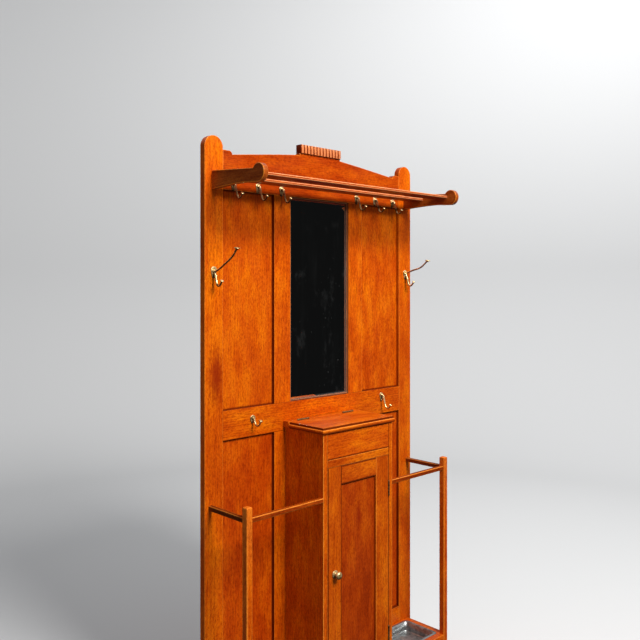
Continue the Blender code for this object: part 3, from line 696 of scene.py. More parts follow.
# %% Stiles and crest
EAR_RISE = 0.1258           # the ears' tops above the underside of the crest rail
EAR_RADIUS = 0.0125
EAR_IN = 0.0244             # from the end of the rail to the centre of the ear's round
EAR_TURN = 85
KNEE = (0.200, 0.1373)      # where the gable leaves its first slope
GABLE_HEAD = 0.1478
low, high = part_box("crest_rail")
ear_top = low.z + EAR_RISE
LEFT_STILE_STAIN = ((-0.455, FACE, 1.125), (0.036, 1.0, 0.125))
for label in SIDES:
    node = f"stile_{label}"
    low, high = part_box(node)
    half = (high.x - low.x) / 2
    drawing = Outline(low.x, low.z).line((high.x, low.z), (high.x, high.z - half))
    drawing.arc(low.x + half, high.z - half, 180, 32)
    bm = soften(drawing.extrude(low.y, high.y - low.y), 0.0011)
    # The inner side below the ears is painted dark: painted shade in the reveal beside the panels.
    grime_and_shade = vertex_value(bm, "grime_and_shade")
    inner = high.x if label == "left" else low.x
    for vert in bm.verts:
        vert[grime_and_shade] = 1 if abs(vert.co.x - inner) < 0.0001 and vert.co.z < ear_top else 0
    stain = LEFT_STILE_STAIN if label == "left" else None
    oak_piece(node, "plank", bm, "Z", stain=stain)

low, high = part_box("crest_rail")
block_low, block_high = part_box("reeded_block")
ear = high.x - EAR_IN
drawing = Outline(low.x, low.z).line((high.x, low.z), (high.x, ear_top), (ear, ear_top))
drawing.arc(ear, ear_top - EAR_RADIUS, EAR_TURN, 8)
drawing.line((KNEE[0], low.z + KNEE[1]), (block_high.x, low.z + GABLE_HEAD), (block_high.x, high.z))
drawing.line((block_low.x, high.z), (block_low.x, low.z + GABLE_HEAD), (-KNEE[0], low.z + KNEE[1]))
foot = math.radians(EAR_TURN)
drawing.line((-ear + EAR_RADIUS * math.sin(foot), ear_top - EAR_RADIUS * (1 - math.cos(foot))))
drawing.arc(-ear, ear_top - EAR_RADIUS, EAR_TURN, 8)
drawing.line((low.x, ear_top))
bm = soften(drawing.extrude(low.y, high.y - low.y))
# The crest's underside edge is painted dark: painted shade where it meets the panels and the mirror.
grime_and_shade = vertex_value(bm, "grime_and_shade")
for vert in bm.verts:
    vert[grime_and_shade] = 1 if vert.co.z < low.z + 0.0001 else 0
oak_piece("crest_rail", "gabled", bm, "X", "crest")
print("stiles and crest, the pad is", round(block_high.x - block_low.x, 3), "m long")

# %% [markdown]
# ## The reeded block
# A plane with a hollow iron runs the reeds down the front of the block, so each is a half round with a
# sharp valley beside it. The valleys are painted dark, as painted shade, and the fronts of the reeds
# pale, as a painted highlight. The outline lies flat here: thirteen arcs in a row, closed behind, and
# drawn up to the block's height.

# %% Reeded block
REEDS = 13
FLAT_REED = 0.62            # a reed is flatter than a half circle
VALLEY = 0.44               # where the dark of a valley ends, as a share of the reeds' pitch
VALLEY_FADE = 0.22
pitch = (block_high.x - block_low.x) / REEDS
depth = pitch / 2 * FLAT_REED
body = block_high.y - block_low.y - depth
drawing = Outline(block_high.x, 0).line((block_high.x, body), (block_low.x, body), (block_low.x, 0))
for reed in range(REEDS):
    drawing.arc(block_low.x + (reed + 0.5) * pitch, 0, 180, 10)
bm = drawing.extrude(0, block_high.z - block_low.z)
# Painted shade in the valleys between the reeds.
grime_and_shade = vertex_value(bm, "grime_and_shade")
for vert in bm.verts:
    reach = max(0, -vert.co.z) / pitch
    vert[grime_and_shade] = min(max((VALLEY - reach) / VALLEY_FADE, 0), 1)
    if vert.co.z < 0:
        vert.co.z *= FLAT_REED
bmesh.ops.rotate(bm, cent=(0, 0, 0), matrix=Matrix.Rotation(math.radians(-90), 3, "X"), verts=bm.verts)
bmesh.ops.translate(bm, vec=(0, block_low.y + depth, block_high.z), verts=bm.verts)
rims = [edge for edge in bm.edges if abs(edge.verts[0].co.z - edge.verts[1].co.z) < 0.0001]
round_over(bm, rims, 0.0006, 2)
# A painted highlight on the front of each reed.
arris = vertex_value(bm, "arris")
for vert in bm.verts:
    vert[arris] = 1 if vert.co.y < block_low.y + 0.35 * depth else 0
for face in bm.faces:
    face.smooth = abs(face.normal.z) < 0.5
block = oak_piece("reeded_block", "worked", bm, "X", "crest", rub=PALE_RUB_AND_HIGHLIGHT)
block.data.set_sharp_from_angle(angle=math.radians(50))
print("reeds:", REEDS, "at", round(pitch * 1000, 1), "mm")

# %% [markdown]
# ## Shelf brackets
# Each bracket is sawn from a plank that stands on edge: it leaves the stile at full height, narrows to
# a neck, and ends in a round scroll that stands above the slats. The scroll is one large arc, drawn in
# the plane Y = 0 and then turned to face sideways.

# %% Shelf brackets
SCROLL_RADIUS = 0.0278
SCROLL_HEIGHT = 0.0295      # its centre above the bracket's lowest point
SCROLL_START = 32
SCROLL_TURN = 246
NECK_FOOT = 1.7150
NECK = [                    # in front of the stile, and above NECK_FOOT
    (0.190, 0.0035), (0.168, 0.0058), (0.146, 0.0065), (0.116, 0.0062),
    (0.087, 0.0050), (0.047, 0.0030), (0.000, 0.0000), (0.000, 0.0585)]
for label in SIDES:
    node = f"shelf_bracket_{label}"
    low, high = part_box(node)
    centre = Vector((low.y + SCROLL_RADIUS, low.z + SCROLL_HEIGHT))
    begin = math.radians(SCROLL_START)
    drawing = Outline(*(centre + SCROLL_RADIUS * Vector((math.cos(begin), math.sin(begin)))))
    drawing.arc(*centre, SCROLL_TURN, 40)
    drawing.line(*((high.y - reach, NECK_FOOT + rise) for reach, rise in NECK))
    bm = soften(drawing.extrude(0, high.x - low.x), 0.0013)
    bmesh.ops.rotate(bm, cent=(0, 0, 0), matrix=Matrix.Rotation(math.radians(90), 3, "Z"), verts=bm.verts)
    bmesh.ops.translate(bm, vec=(high.x, 0, 0), verts=bm.verts)
    oak_piece(node, "scrolled", bm, "Y", "bracket", wear=0.8)
print("brackets reach", round(FACE - low.y, 3), "m in front of the stiles")

# %% [markdown]
# ## The lid
# The lid of the glove box has a moulding worked along its front and both ends: a rounded lip, a narrow
# quirk and a flat top. Its back edge is straight, because the hinge strip meets it there. The mesh is
# drawn up in steps from the underside, and each step is scaled about the middle of the back edge, so
# that only the three worked sides move in.

# %% Lid
MOULDING = [                # how far in, and how high above the underside
    (0.0000, 0.0012), (0.0000, 0.0085), (0.0006, 0.0108), (0.0020, 0.0126), (0.0040, 0.0134),
    (0.0048, 0.0134), (0.0050, 0.0150), (0.0052, 0.0190), (0.0059, 0.0203), (0.0072, 0.0210)]
# Steps painted pale: worn, and a painted highlight on the lip and the top's edge. Steps painted dark: a
# painted shadow under the lid, and dirt and painted shade in the quirk.
WORN_AND_LIT_STEPS = (2, 3, 8)
DARK_STEPS = (0, 4, 5, 6, 7)
UNDERCUT = 0.0012           # how far the underside's edge stands back
low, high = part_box("lid")
size = high - low
bm = bmesh.new()
arris, grime_and_shade = wear_values(bm)
corners = flat_sheet(bm, size.x - 2 * UNDERCUT, size.y - UNDERCUT)
# The underside is painted dark: a painted shadow under the lid.
for vert in corners:
    vert[grime_and_shade] = 1
bmesh.ops.translate(bm, vec=(0, high.y - (size.y - UNDERCUT) / 2, low.z), verts=corners)
top = list(bm.faces)
inset, level = UNDERCUT, 0.0
for step, (goal, height) in enumerate(MOULDING):
    top, verts = draw_out(bm, top, (0, 0, height - level))
    shrink = ((size.x - 2 * goal) / (size.x - 2 * inset), (size.y - goal) / (size.y - inset))
    scale_about(bm, verts, shrink, Vector((0, high.y, 0)))
    inset, level = goal, height
    for vert in verts:
        vert[arris] = 1 if step in WORN_AND_LIT_STEPS else 0
        vert[grime_and_shade] = 1 if step in DARK_STEPS else 0
bmesh.ops.inset_individual(bm, faces=top, thickness=0.004, use_even_offset=True)
for vert in top[0].verts:
    vert[arris] = 0
    vert[grime_and_shade] = 0
bmesh.ops.recalc_face_normals(bm, faces=bm.faces)
shade_smooth(bm)
lid = oak_piece("lid", "moulded", bm, "X", "cupboard", wear=0.75)
lid.data.set_sharp_from_angle(angle=math.radians(38))
print("the moulding has", len(MOULDING), "steps")

# %% [markdown]
# ## Glove box floor and base
# The floor of the glove box is one board with a cross rail along its front, above the door. The base is
# a wide board with a well under each tray and a notch for each post: a flat sheet is cut by planes at
# the edges of the openings, those faces are deleted, and what is left is drawn down. The wells and the
# notches are found from the trays and the posts themselves.

# %% Floor of the glove box
CROSS_RAIL = 0.018
FLOOR_THICK = 0.012
GLUE_LINE = 0.0002
low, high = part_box("glove_box_floor")
bm = bmesh.new()
draw_board(bm, low, Vector((high.x, low.y + CROSS_RAIL, high.z)), "X")
draw_board(bm, Vector((low.x, low.y + CROSS_RAIL + GLUE_LINE, high.z - FLOOR_THICK)), high, "X")
oak_piece("glove_box_floor", "railed", bm, "X", "cupboard")

# %% Base board and plinths
FLANGE = 0.009
CLEAR = 0.0003
low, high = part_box("base_platform")
bm = bmesh.new()
sheet = flat_sheet(bm, high.x - low.x, high.y - low.y)
bmesh.ops.translate(bm, vec=(0, (low.y + high.y) / 2, high.z), verts=sheet)
openings = []
for label, side in SIDES.items():
    tray_low, tray_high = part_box(f"drip_tray_{label}")
    openings.append((tray_low.x + FLANGE, tray_high.x - FLANGE, tray_low.y + FLANGE, tray_high.y - FLANGE))
    post_low, post_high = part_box(f"post_{label}")
    inner = post_high.x + CLEAR if side < 0 else post_low.x - CLEAR
    ends = sorted((inner, side * high.x))
    openings.append((*ends, low.y, post_high.y + CLEAR))
for west, east, south, north in openings:
    for spot, normal in (((west, 0, 0), (1, 0, 0)), ((east, 0, 0), (1, 0, 0)),
                         ((0, south, 0), (0, 1, 0)), ((0, north, 0), (0, 1, 0))):
        bmesh.ops.bisect_plane(bm, geom=parts_of(bm.faces[:]), dist=0.00001, plane_co=spot, plane_no=normal)
doomed = []
for face in bm.faces:
    spot = face.calc_center_median()
    if any(west < spot.x < east and south < spot.y < north for west, east, south, north in openings):
        doomed.append(face)
bmesh.ops.delete(bm, geom=doomed, context="FACES")
draw_out(bm, bm.faces[:], (0, 0, low.z - high.z))
bmesh.ops.recalc_face_normals(bm, faces=bm.faces)
oak_piece("base_platform", "pierced", soften(bm), "X")

PLINTH_FOOT = 0.070
PLINTH_ARCH = 0.022
low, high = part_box("plinth_front")
foot = high.x - PLINTH_FOOT
drawing = Outline(low.x, 0).line((-foot, 0)).arc(-foot + PLINTH_ARCH, 0, -90, 8)
drawing.line((foot - PLINTH_ARCH, PLINTH_ARCH)).arc(foot - PLINTH_ARCH, 0, -90, 8)
drawing.line((high.x, 0), (high.x, high.z), (low.x, high.z))
bm = soften(drawing.extrude(low.y, high.y - low.y))
oak_piece("plinth_front", "arched", bm, "X")

PLINTH_THICK = high.y - low.y
under_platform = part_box("base_platform")[0].z - CLEAR
for label, side in SIDES.items():
    post_low, post_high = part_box(f"post_{label}")
    outer = side * (abs(post_low.x + post_high.x) / 2 + PLINTH_THICK / 2)
    ends = sorted((outer, outer - side * PLINTH_THICK))
    bm = bmesh.new()
    draw_board(bm, Vector((ends[0], post_high.y + CLEAR, PLINTH_ARCH)),
               Vector((ends[1], FACE - CLEAR, under_platform)), "Y")
    side_oak = oak(f"oak_plinth_side_{label}", "Y", "bracket")
    piece(f"plinth_side_{label}", bm, side_oak, body="frame", slot="oak_frame")
print("the base has", len(openings), "openings")

# %% [markdown]
# ## The mirror
# Old silvering fades from the edges and turns to grey specks and clouds. The glass keeps its place from
# the frame, with a bevel ground round its edge. Its finish is a metal whose roughness rises in the
# clouds, which then catch a little of the room's light, and in the specks the silver is gone and the
# dark backing shows. A thin bead holds the glass in front, and a pine board covers it behind.

# %% Mirror glass
def silvering():
    g = Graph("old_silvering")
    place = g.place()
    cloud = g.band(g.noise(g.stretched(place, (13, 13, 7)), 1.0, 5.0, 0.65), 0.56, 0.80)
    veil = g.band(g.noise(g.stretched(place, (60, 60, 5)), 1.0, 4.0, 0.6), 0.50, 0.85)
    speck = g.band(g.noise(g.stretched(place, (160, 160, 130)), 1.0, 2.0, 0.5), 0.70, 0.76)
    speck = g.math("MULTIPLY", speck, g.band(g.noise(place, 9.0, 2.0), 0.50, 0.66))
    fog = g.math("ADD", g.math("MULTIPLY", cloud, 0.09), g.math("MULTIPLY", veil, 0.01))
    fog = g.math("ADD", fog, g.math("MULTIPLY", speck, 0.5))
    edge = g.math("MULTIPLY", g.attribute("grime_and_shade"), 0.35)
    metallic = g.math("SUBTRACT", 1.0, g.math("MULTIPLY", g.math("ADD", fog, edge), 0.35))
    colour = g.blend(g.math("MULTIPLY", speck, 0.5), (0.72, 0.75, 0.75), (0.30, 0.29, 0.26))
    rough = g.math("ADD", 0.02, g.math("MULTIPLY", fog, 0.5))
    g.feed(g.shader, Base_Color=colour, Metallic=metallic, Roughness=rough)
    return g.material


BEVEL_WIDTH = 0.012
BEVEL_DROP = 0.0010
low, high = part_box("mirror_glass")
bm = bmesh.new()
box_of(bm, low, high)
grime_and_shade = vertex_value(bm, "grime_and_shade")
for vert in bm.verts:
    vert[grime_and_shade] = 1
front = [face for face in bm.faces if face.normal.y < -0.9]
bmesh.ops.inset_individual(bm, faces=front, thickness=TONGUE, use_even_offset=True)
bmesh.ops.inset_individual(bm, faces=front, thickness=BEVEL_WIDTH, use_even_offset=True)
for vert in front[0].verts:
    vert[grime_and_shade] = 0
outside = [vert for vert in bm.verts if vert.co.y < low.y + 0.0001 and vert not in front[0].verts]
bmesh.ops.translate(bm, vec=(0, BEVEL_DROP, 0), verts=outside)
piece("mirror_glass_bevelled", bm, silvering(), "mirror_glass")

# %% Bead and backboard
def raw_pine():
    g = Graph("raw_pine")
    place = g.place()
    grain = g.noise(g.stretched(place, (90, 90, 3)), 1.0, 4.0, 0.6)
    stain = g.noise(g.stretched(place, (6, 6, 3)), 1.0, 4.0, 0.6)
    colour = g.ramp(g.band(grain, 0.3, 0.7), [(0.0, (0.16, 0.075, 0.028)), (1.0, (0.33, 0.17, 0.070))])
    colour = g.blend(g.band(stain, 0.48, 0.75, 0.0, 0.6), colour, (0.06, 0.030, 0.014))
    g.bump(grain, 0.4, 0.0006)
    g.feed(g.shader, Base_Color=colour, Roughness=0.82)
    return g.material


BEAD = 0.0036
BEAD_DEPTH = 0.0058
BEAD_RUB_AND_GLINT = (0.30, 0.15, 0.08)
SIDE_FIT = 0.0008
END_FIT = 0.0006
PINE_THICK = 0.006
inner_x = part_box("upper_muntin_right")[0].x
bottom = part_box("mid_rail")[1].z
top_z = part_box("crest_rail")[0].z
glass_front = low.y
bm = bmesh.new()
sheet = flat_sheet(bm, 2 * (inner_x - SIDE_FIT), top_z - bottom - 2 * END_FIT)
bmesh.ops.rotate(bm, cent=(0, 0, 0), matrix=Matrix.Rotation(math.radians(90), 3, "X"), verts=sheet)
bmesh.ops.translate(bm, vec=(0, glass_front - 0.0002, (top_z + bottom) / 2), verts=sheet)
field = bm.faces[:]
bmesh.ops.inset_individual(bm, faces=field, thickness=BEAD, use_even_offset=True)
bmesh.ops.delete(bm, geom=field, context="FACES_ONLY")
draw_out(bm, bm.faces[:], (0, -BEAD_DEPTH, 0))
bmesh.ops.recalc_face_normals(bm, faces=bm.faces)
# The bead's edges are painted pale: worn, and a painted highlight on its reveal.
bead_oak = oak("oak_mirror_bead", "Z", "bracket", wear=0.8, rub=BEAD_RUB_AND_GLINT)
piece("mirror_bead", soften(bm, 0.0016, 0.001), bead_oak, body="frame", slot="oak_frame")

bm = bmesh.new()
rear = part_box("mirror_glass")[1].y
boards_high = 3
shrunk = 0.0004             # what each edge of a pine board has drawn back
rise = (top_z - bottom - 2 * END_FIT) / boards_high
for index in range(boards_high):
    start = bottom + END_FIT + index * rise
    draw_board(bm, Vector((END_FIT - inner_x, rear + END_FIT, start + shrunk)),
               Vector((inner_x - END_FIT, rear + END_FIT + PINE_THICK, start + rise - shrunk)), "X")
piece("mirror_backboard", bm, raw_pine(), body="frame", slot="oak_panel")
print("mirror is", round(2 * inner_x, 3), "by", round(top_z - bottom, 3), "m in the clear")

# %% [markdown]
# ## Brass
# The hooks are cast brass under a lacquer that has mostly gone: bright where hands and hats rub, olive
# and brown in the hollows, and darker underneath, which is partly tarnish and partly painted shade. One
# noise sets the tarnish, a finer one breaks it up, and the same values raise the roughness. The hat
# hooks hang in the shelf's shade and get a darker copy of the brass, as painted shade. The hinges are the
# same metal but darker, because nobody polishes them.

# %% Brass, dark brass and zinc
def brass(name, bright, tarnish_and_shade, amount, rough):
    g = Graph(name)
    place = g.place()
    broad = g.noise(place, 70.0, 4.0, 0.6)
    fine = g.noise(place, 620.0, 3.0, 0.6)
    mask = g.math("ADD", g.math("MULTIPLY", broad, 0.8), g.math("MULTIPLY", fine, 0.25))
    # Where a casting faces down, the tarnish deepens: partly tarnish, partly painted shade.
    mask = g.math("ADD", mask, g.math("MULTIPLY", g.attribute("grime_and_shade"), 0.34))
    mask = g.band(mask, 0.46, 0.70, 0.0, amount)
    g.bump(fine, 0.12, 0.0003)
    g.feed(g.shader, Base_Color=g.blend(mask, bright, tarnish_and_shade), Metallic=0.62,
           Roughness=g.math("ADD", rough, g.math("MULTIPLY", mask, 0.22)), Specular_Tint=(1.0, 0.75, 0.4))
    return g.material


def galvanised():
    g = Graph("galvanised_zinc")
    place = g.place()
    spangle = g.add("ShaderNodeTexVoronoi")
    g.feed(spangle, Vector=place, Scale=95.0)
    bleed = g.noise(place, 16.0, 5.0, 0.65)
    tone = g.add("ShaderNodeSeparateColor")
    g.feed(tone, Color=spangle.outputs["Color"])
    colour = g.ramp(tone.outputs["Red"], [(0.0, (0.20, 0.21, 0.21)), (1.0, (0.40, 0.41, 0.41))])
    rust = g.band(bleed, 0.56, 0.72, 0.0, 0.8)
    colour = g.blend(rust, colour, (0.115, 0.045, 0.016))
    g.bump(bleed, 0.15, 0.0006)
    g.feed(g.shader, Base_Color=colour, Metallic=g.math("SUBTRACT", 0.9, g.math("MULTIPLY", rust, 0.9)),
           Roughness=g.math("ADD", 0.38, g.math("MULTIPLY", rust, 0.4)))
    return g.material


OLD_BRASS = brass("old_brass", (0.84, 0.62, 0.30), (0.130, 0.070, 0.014), 0.90, 0.30)
# A darker copy for the hat hooks: painted shade from the shelf.
SHADED_HOOK_BRASS = brass("shaded_hook_brass", (0.86, 0.62, 0.30), (0.055, 0.030, 0.008), 0.95, 0.22)
DULL_BRASS = brass("dull_brass", (0.20, 0.12, 0.050), (0.035, 0.020, 0.010), 0.9, 0.38)
ZINC = galvanised()
print("metals:", OLD_BRASS.name, SHADED_HOOK_BRASS.name, DULL_BRASS.name, ZINC.name)

# %% [markdown]
# ## Hooks
# Each hook is one casting: a plate that is round at the top and narrows downwards, a boss, and one or
# two arms that end in flattened buttons. The plate is an outline with two arcs joined by their common
# tangents. An arm is a curve with a round bevel, thick at the root and thinner at its tip, turned into
# a mesh, so that every hook is a mesh from end to end. A slotted screw holds the plate at the top and
# at the bottom.

# %% Parts of a hook
def plate(across, up, wide, narrow, drop, thickness, face):
    """A plate with its upper round centred at one point, and a lower round straight below it."""
    lean = math.asin((wide - narrow) / drop)
    turn = 180 + 2 * math.degrees(lean)
    drawing = Outline(across + wide * math.cos(-lean), up + wide * math.sin(-lean))
    drawing.arc(across, up, turn, 20)
    drawing.line((across - narrow * math.cos(lean), up - drop - narrow * math.sin(lean)))
    drawing.arc(across, up - drop, 360 - turn, 12)
    bm = drawing.extrude(face - thickness, thickness)
    rim = [edge for edge in bm.edges if all(vert.co.y < face - 0.9 * thickness for vert in edge.verts)]
    round_over(bm, rim, 0.55 * thickness, 3)
    return bm


def add_ball(bm, spot, radius, squash, direction):
    """A ball flattened along one direction."""
    made = bmesh.ops.create_uvsphere(bm, u_segments=24, v_segments=14, radius=radius)["verts"]
    bmesh.ops.scale(bm, vec=(1, 1, squash), verts=made)
    turn = Vector(direction).to_track_quat("Z", "Y").to_matrix().to_4x4()
    bmesh.ops.transform(bm, matrix=Matrix.Translation(spot) @ turn, verts=made)


def add_arm(bm, across, face, height, points, radius, taper):
    """A bent arm through points that are given as reach in front of the face and rise."""
    curve = bpy.data.curves.new("arm", "CURVE")
    curve.dimensions = "3D"
    curve.bevel_depth = radius
    curve.bevel_resolution = 4
    curve.resolution_u = 10
    curve.use_fill_caps = True
    spline = curve.splines.new("BEZIER")
    spline.bezier_points.add(len(points) - 1)
    for index, (reach, rise) in enumerate(points):
        knot = spline.bezier_points[index]
        knot.co = (across, face - reach, height + rise)
        knot.handle_left_type = knot.handle_right_type = "AUTO"
        knot.radius = 1 + (taper - 1) * index / (len(points) - 1)
    holder = bpy.data.objects.new("arm", curve)
    mesh = holder.to_mesh()
    others = set(bm.verts)
    bm.from_mesh(mesh)
    holder.to_mesh_clear()
    bpy.data.objects.remove(holder)
    bpy.data.curves.remove(curve)
    bmesh.ops.remove_doubles(bm, verts=fresh(bm.verts, others), dist=0.00001)


def add_screw(bm, across, face, up, radius, slant=0.6):
    """A domed screw head with a slot, turned by a slant."""
    others = set(bm.faces)
    bmesh.ops.create_circle(bm, cap_ends=True, segments=20, radius=radius)
    half_slot = 0.16 * radius
    for side in (-1, 1):
        bmesh.ops.bisect_plane(bm, geom=parts_of(fresh(bm.faces, others)), dist=0.000001,
                               plane_co=(side * half_slot, 0, 0), plane_no=(1, 0, 0))
    cheeks = [face for face in fresh(bm.faces, others) if abs(face.calc_center_median().x) > half_slot]
    for share, rise in ((1.0, 0.30), (0.80, 0.17), (0.42, 0.08)):
        cheeks, verts = draw_out(bm, cheeks, (0, 0, rise * radius))
        for vert in verts:
            if abs(vert.co.x) > 1.2 * half_slot:
                vert.co.x = math.copysign(max(abs(vert.co.x) * share, 1.3 * half_slot), vert.co.x)
            vert.co.y *= share
    turn = Matrix.Rotation(math.radians(90), 4, "X") @ Matrix.Rotation(slant, 4, "Z")
    bmesh.ops.transform(bm, matrix=Matrix.Translation((across, face, up)) @ turn,
                        verts=corners_of(fresh(bm.faces, others)))


def finish_brass(node, bm, material, angle=40):
    """Shade the casting smooth, and darken it where it faces down: tarnish, and painted shade."""
    grime_and_shade = vertex_value(bm, "grime_and_shade")
    bm.normal_update()
    for vert in bm.verts:
        vert[grime_and_shade] = max(0, 0.2 - vert.normal.z)
    shade_smooth(bm)
    made = piece(f"{node}_cast", bm, material, node)
    made.data.set_sharp_from_angle(angle=math.radians(angle))


# %% Hat hooks and rail hooks
HOOK_PLATE = 0.0026
ARM_ROOT = 0.0034
ARM_DROP = 0.0135           # from the top of a tall plate to the middle of its arm's root
SCREW_SUNK = 0.0002         # how deep a screw head sits in its plate
TALL_PLATE = (0.0094, 0.0062, 0.0190)       # upper radius, lower radius, and the distance between them
ROUND_PLATE = (0.0105, 0.0078, 0.0090)
HOOK_ARM = [(0.0030, 0.0035), (0.0095, 0.0020), (0.0135, -0.0070), (0.0175, -0.0210), (0.0225, -0.0355),
            (0.0300, -0.0435), (0.0400, -0.0405), (0.0480, -0.0310)]
SHORT_ARM = [(0.0030, 0.0010), (0.0085, -0.0020), (0.0125, -0.0110), (0.0180, -0.0185), (0.0260, -0.0205),
             (0.0350, -0.0150), (0.0415, -0.0030)]


def single_hook(node, arm, shape, drop_to_arm, button, metal=OLD_BRASS):
    """A hook with one arm, which springs from a boss below the top of the plate."""
    low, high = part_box(node)
    across = (low.x + high.x) / 2
    face = high.y
    wide, narrow, drop = shape
    top = high.z - wide
    middle = high.z - drop_to_arm
    bm = plate(across, top, wide, narrow, drop, HOOK_PLATE, face)
    add_ball(bm, (across, face - 0.0035, middle + arm[0][1]), ARM_ROOT * 1.7, 0.75, (0, -1, -0.3))
    add_arm(bm, across, face, middle, arm, ARM_ROOT, 0.74)
    tip = Vector((0, arm[-2][0] - arm[-1][0], arm[-1][1] - arm[-2][1]))
    add_ball(bm, (across, face - arm[-1][0], middle + arm[-1][1]), button, 0.66, tip)
    for up, slant in ((top + 0.30 * wide, 0.5), (top - drop - 0.10 * narrow, 1.1)):
        add_screw(bm, across, face - HOOK_PLATE + SCREW_SUNK, up, 0.0019, slant)
    finish_brass(node, bm, metal)


# The hat hooks take the darker brass: painted shade from the shelf above them.
for index in range(1, 7):
    single_hook(f"hat_hook_{index}", HOOK_ARM, TALL_PLATE, ARM_DROP, 0.0054, SHADED_HOOK_BRASS)
single_hook("rail_hook_right", HOOK_ARM, TALL_PLATE, ARM_DROP, 0.0056)
single_hook("rail_hook_left", SHORT_ARM, ROUND_PLATE, 0.0120, 0.0058)
print("single hooks:", len([node for node in BODY_OF if node.startswith(("hat_hook", "rail_hook"))]))

# %% Coat hooks
COAT_HOOK_HEIGHT = 1.4575
COAT_PLATE_TOP = 0.0165     # the top of the plate above the hook's middle
COAT_PLATE = (0.0112, 0.0076, 0.0180)
COAT_PLATE_THICK = 0.0030
LOWER_ARM = [(0.0060, -0.0030), (0.0115, -0.0160), (0.0150, -0.0300), (0.0205, -0.0415), (0.0280, -0.0450),
             (0.0365, -0.0400), (0.0440, -0.0295)]
UPPER_ARMS = {
    "left": [(0.0015, 0.000), (0.0170, 0.0030), (0.0580, 0.0225), (0.0980, 0.0460), (0.1195, 0.0695)],
    "right": [(0.0015, 0.004), (0.0150, 0.0080), (0.0420, 0.0160), (0.0800, 0.0270), (0.1130, 0.0525)],
}
for label in SIDES:
    node = f"coat_hook_{label}"
    low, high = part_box(node)
    across = (low.x + high.x) / 2
    face = high.y
    upper = UPPER_ARMS[label]
    middle = COAT_HOOK_HEIGHT
    bm = plate(across, middle + COAT_PLATE_TOP - COAT_PLATE[0], *COAT_PLATE, COAT_PLATE_THICK, face)
    add_ball(bm, (across, face - 0.0040, middle + 0.001), 0.0066, 0.8, (0, -1, 0))
    add_arm(bm, across, face, middle, upper, 0.0035, 0.80)
    add_arm(bm, across, face, middle, LOWER_ARM, 0.0040, 0.74)
    reach, rise = upper[-1]
    add_ball(bm, (across, face - reach, middle + rise), 0.0098, 0.26, (0, -0.15, 1))
    add_ball(bm, (across, face - reach + 0.0004, middle + rise - 0.0030), 0.0042, 0.8, (0, -0.25, 1))
    reach, rise = LOWER_ARM[-1]
    add_ball(bm, (across, face - reach, middle + rise), 0.0056, 0.55, (0, -0.60, 0.8))
    for up, slant in ((0.0112, 0.3), (-0.0145, 1.3)):
        add_screw(bm, across, face - COAT_PLATE_THICK + SCREW_SUNK, middle + up, 0.0021, slant)
    finish_brass(node, bm, OLD_BRASS)
print("coat hooks reach", round(face - low.y, 3), "m")

# %% [markdown]
# ## Hinges, knob and trays
# A butt hinge has five barrels on one pin: three belong to the fixed leaf and two to the moving one.
# Half a hinge is modelled upright at the origin, and then put on its joint's axis, which the frame
# gives. Each leaf has three countersunk screws. The knob is turned: its profile is spun once round its
# axis. The trays are pressed from sheet, with rounded corners and a rim that is rolled over.

# %% Hinges
HINGE_LENGTH = 0.054
HINGE_LEAF = 0.016
SHEET = 0.0012
LEAF_GAP = 0.0002
KNUCKLE = 0.0030
PIN = 0.0014


def half_hinge(side, barrels, carries_pin):
    """Half a closed hinge, with its pin along Z and its leaf running back along +Y."""
    bm = bmesh.new()
    half = HINGE_LENGTH / 2
    pitch = HINGE_LENGTH / 5
    near, far = sorted((side * LEAF_GAP, side * (LEAF_GAP + SHEET)))
    box_of(bm, Vector((near, KNUCKLE * 0.8, -half)), Vector((far, KNUCKLE + HINGE_LEAF, half)))
    for index in barrels:
        middle = -half + (index + 0.5) * pitch
        barrel = bmesh.ops.create_cone(bm, cap_ends=True, segments=28, radius1=KNUCKLE, radius2=KNUCKLE,
                                       depth=pitch - 0.0004)["verts"]
        bmesh.ops.translate(bm, vec=(0, 0, middle), verts=barrel)
        rims = dict.fromkeys(edge for vert in barrel for edge in vert.link_edges
                             if abs(edge.verts[0].co.z - edge.verts[1].co.z) < 0.0001)
        round_over(bm, list(rims), 0.0003, 2)
    if carries_pin:
        for end in (-1, 1):
            add_ball(bm, (0, 0, end * (half - 0.0004)), PIN * 1.5, 0.55, (0, 0, end))
    for share in (-0.34, 0.0, 0.34):
        others = set(bm.verts)
        add_screw(bm, 0, 0, 0, 0.0018, 0.7 + share)
        head = fresh(bm.verts, others)
        flat = Matrix.Diagonal((1, 0.35, 1, 1))
        turn = Matrix.Rotation(math.radians(-90 * side), 4, "Z")
        spot = (side * LEAF_GAP, KNUCKLE + 0.55 * HINGE_LEAF, share * HINGE_LENGTH)
        bmesh.ops.transform(bm, matrix=Matrix.Translation(spot) @ turn @ flat, verts=head)
    return bm


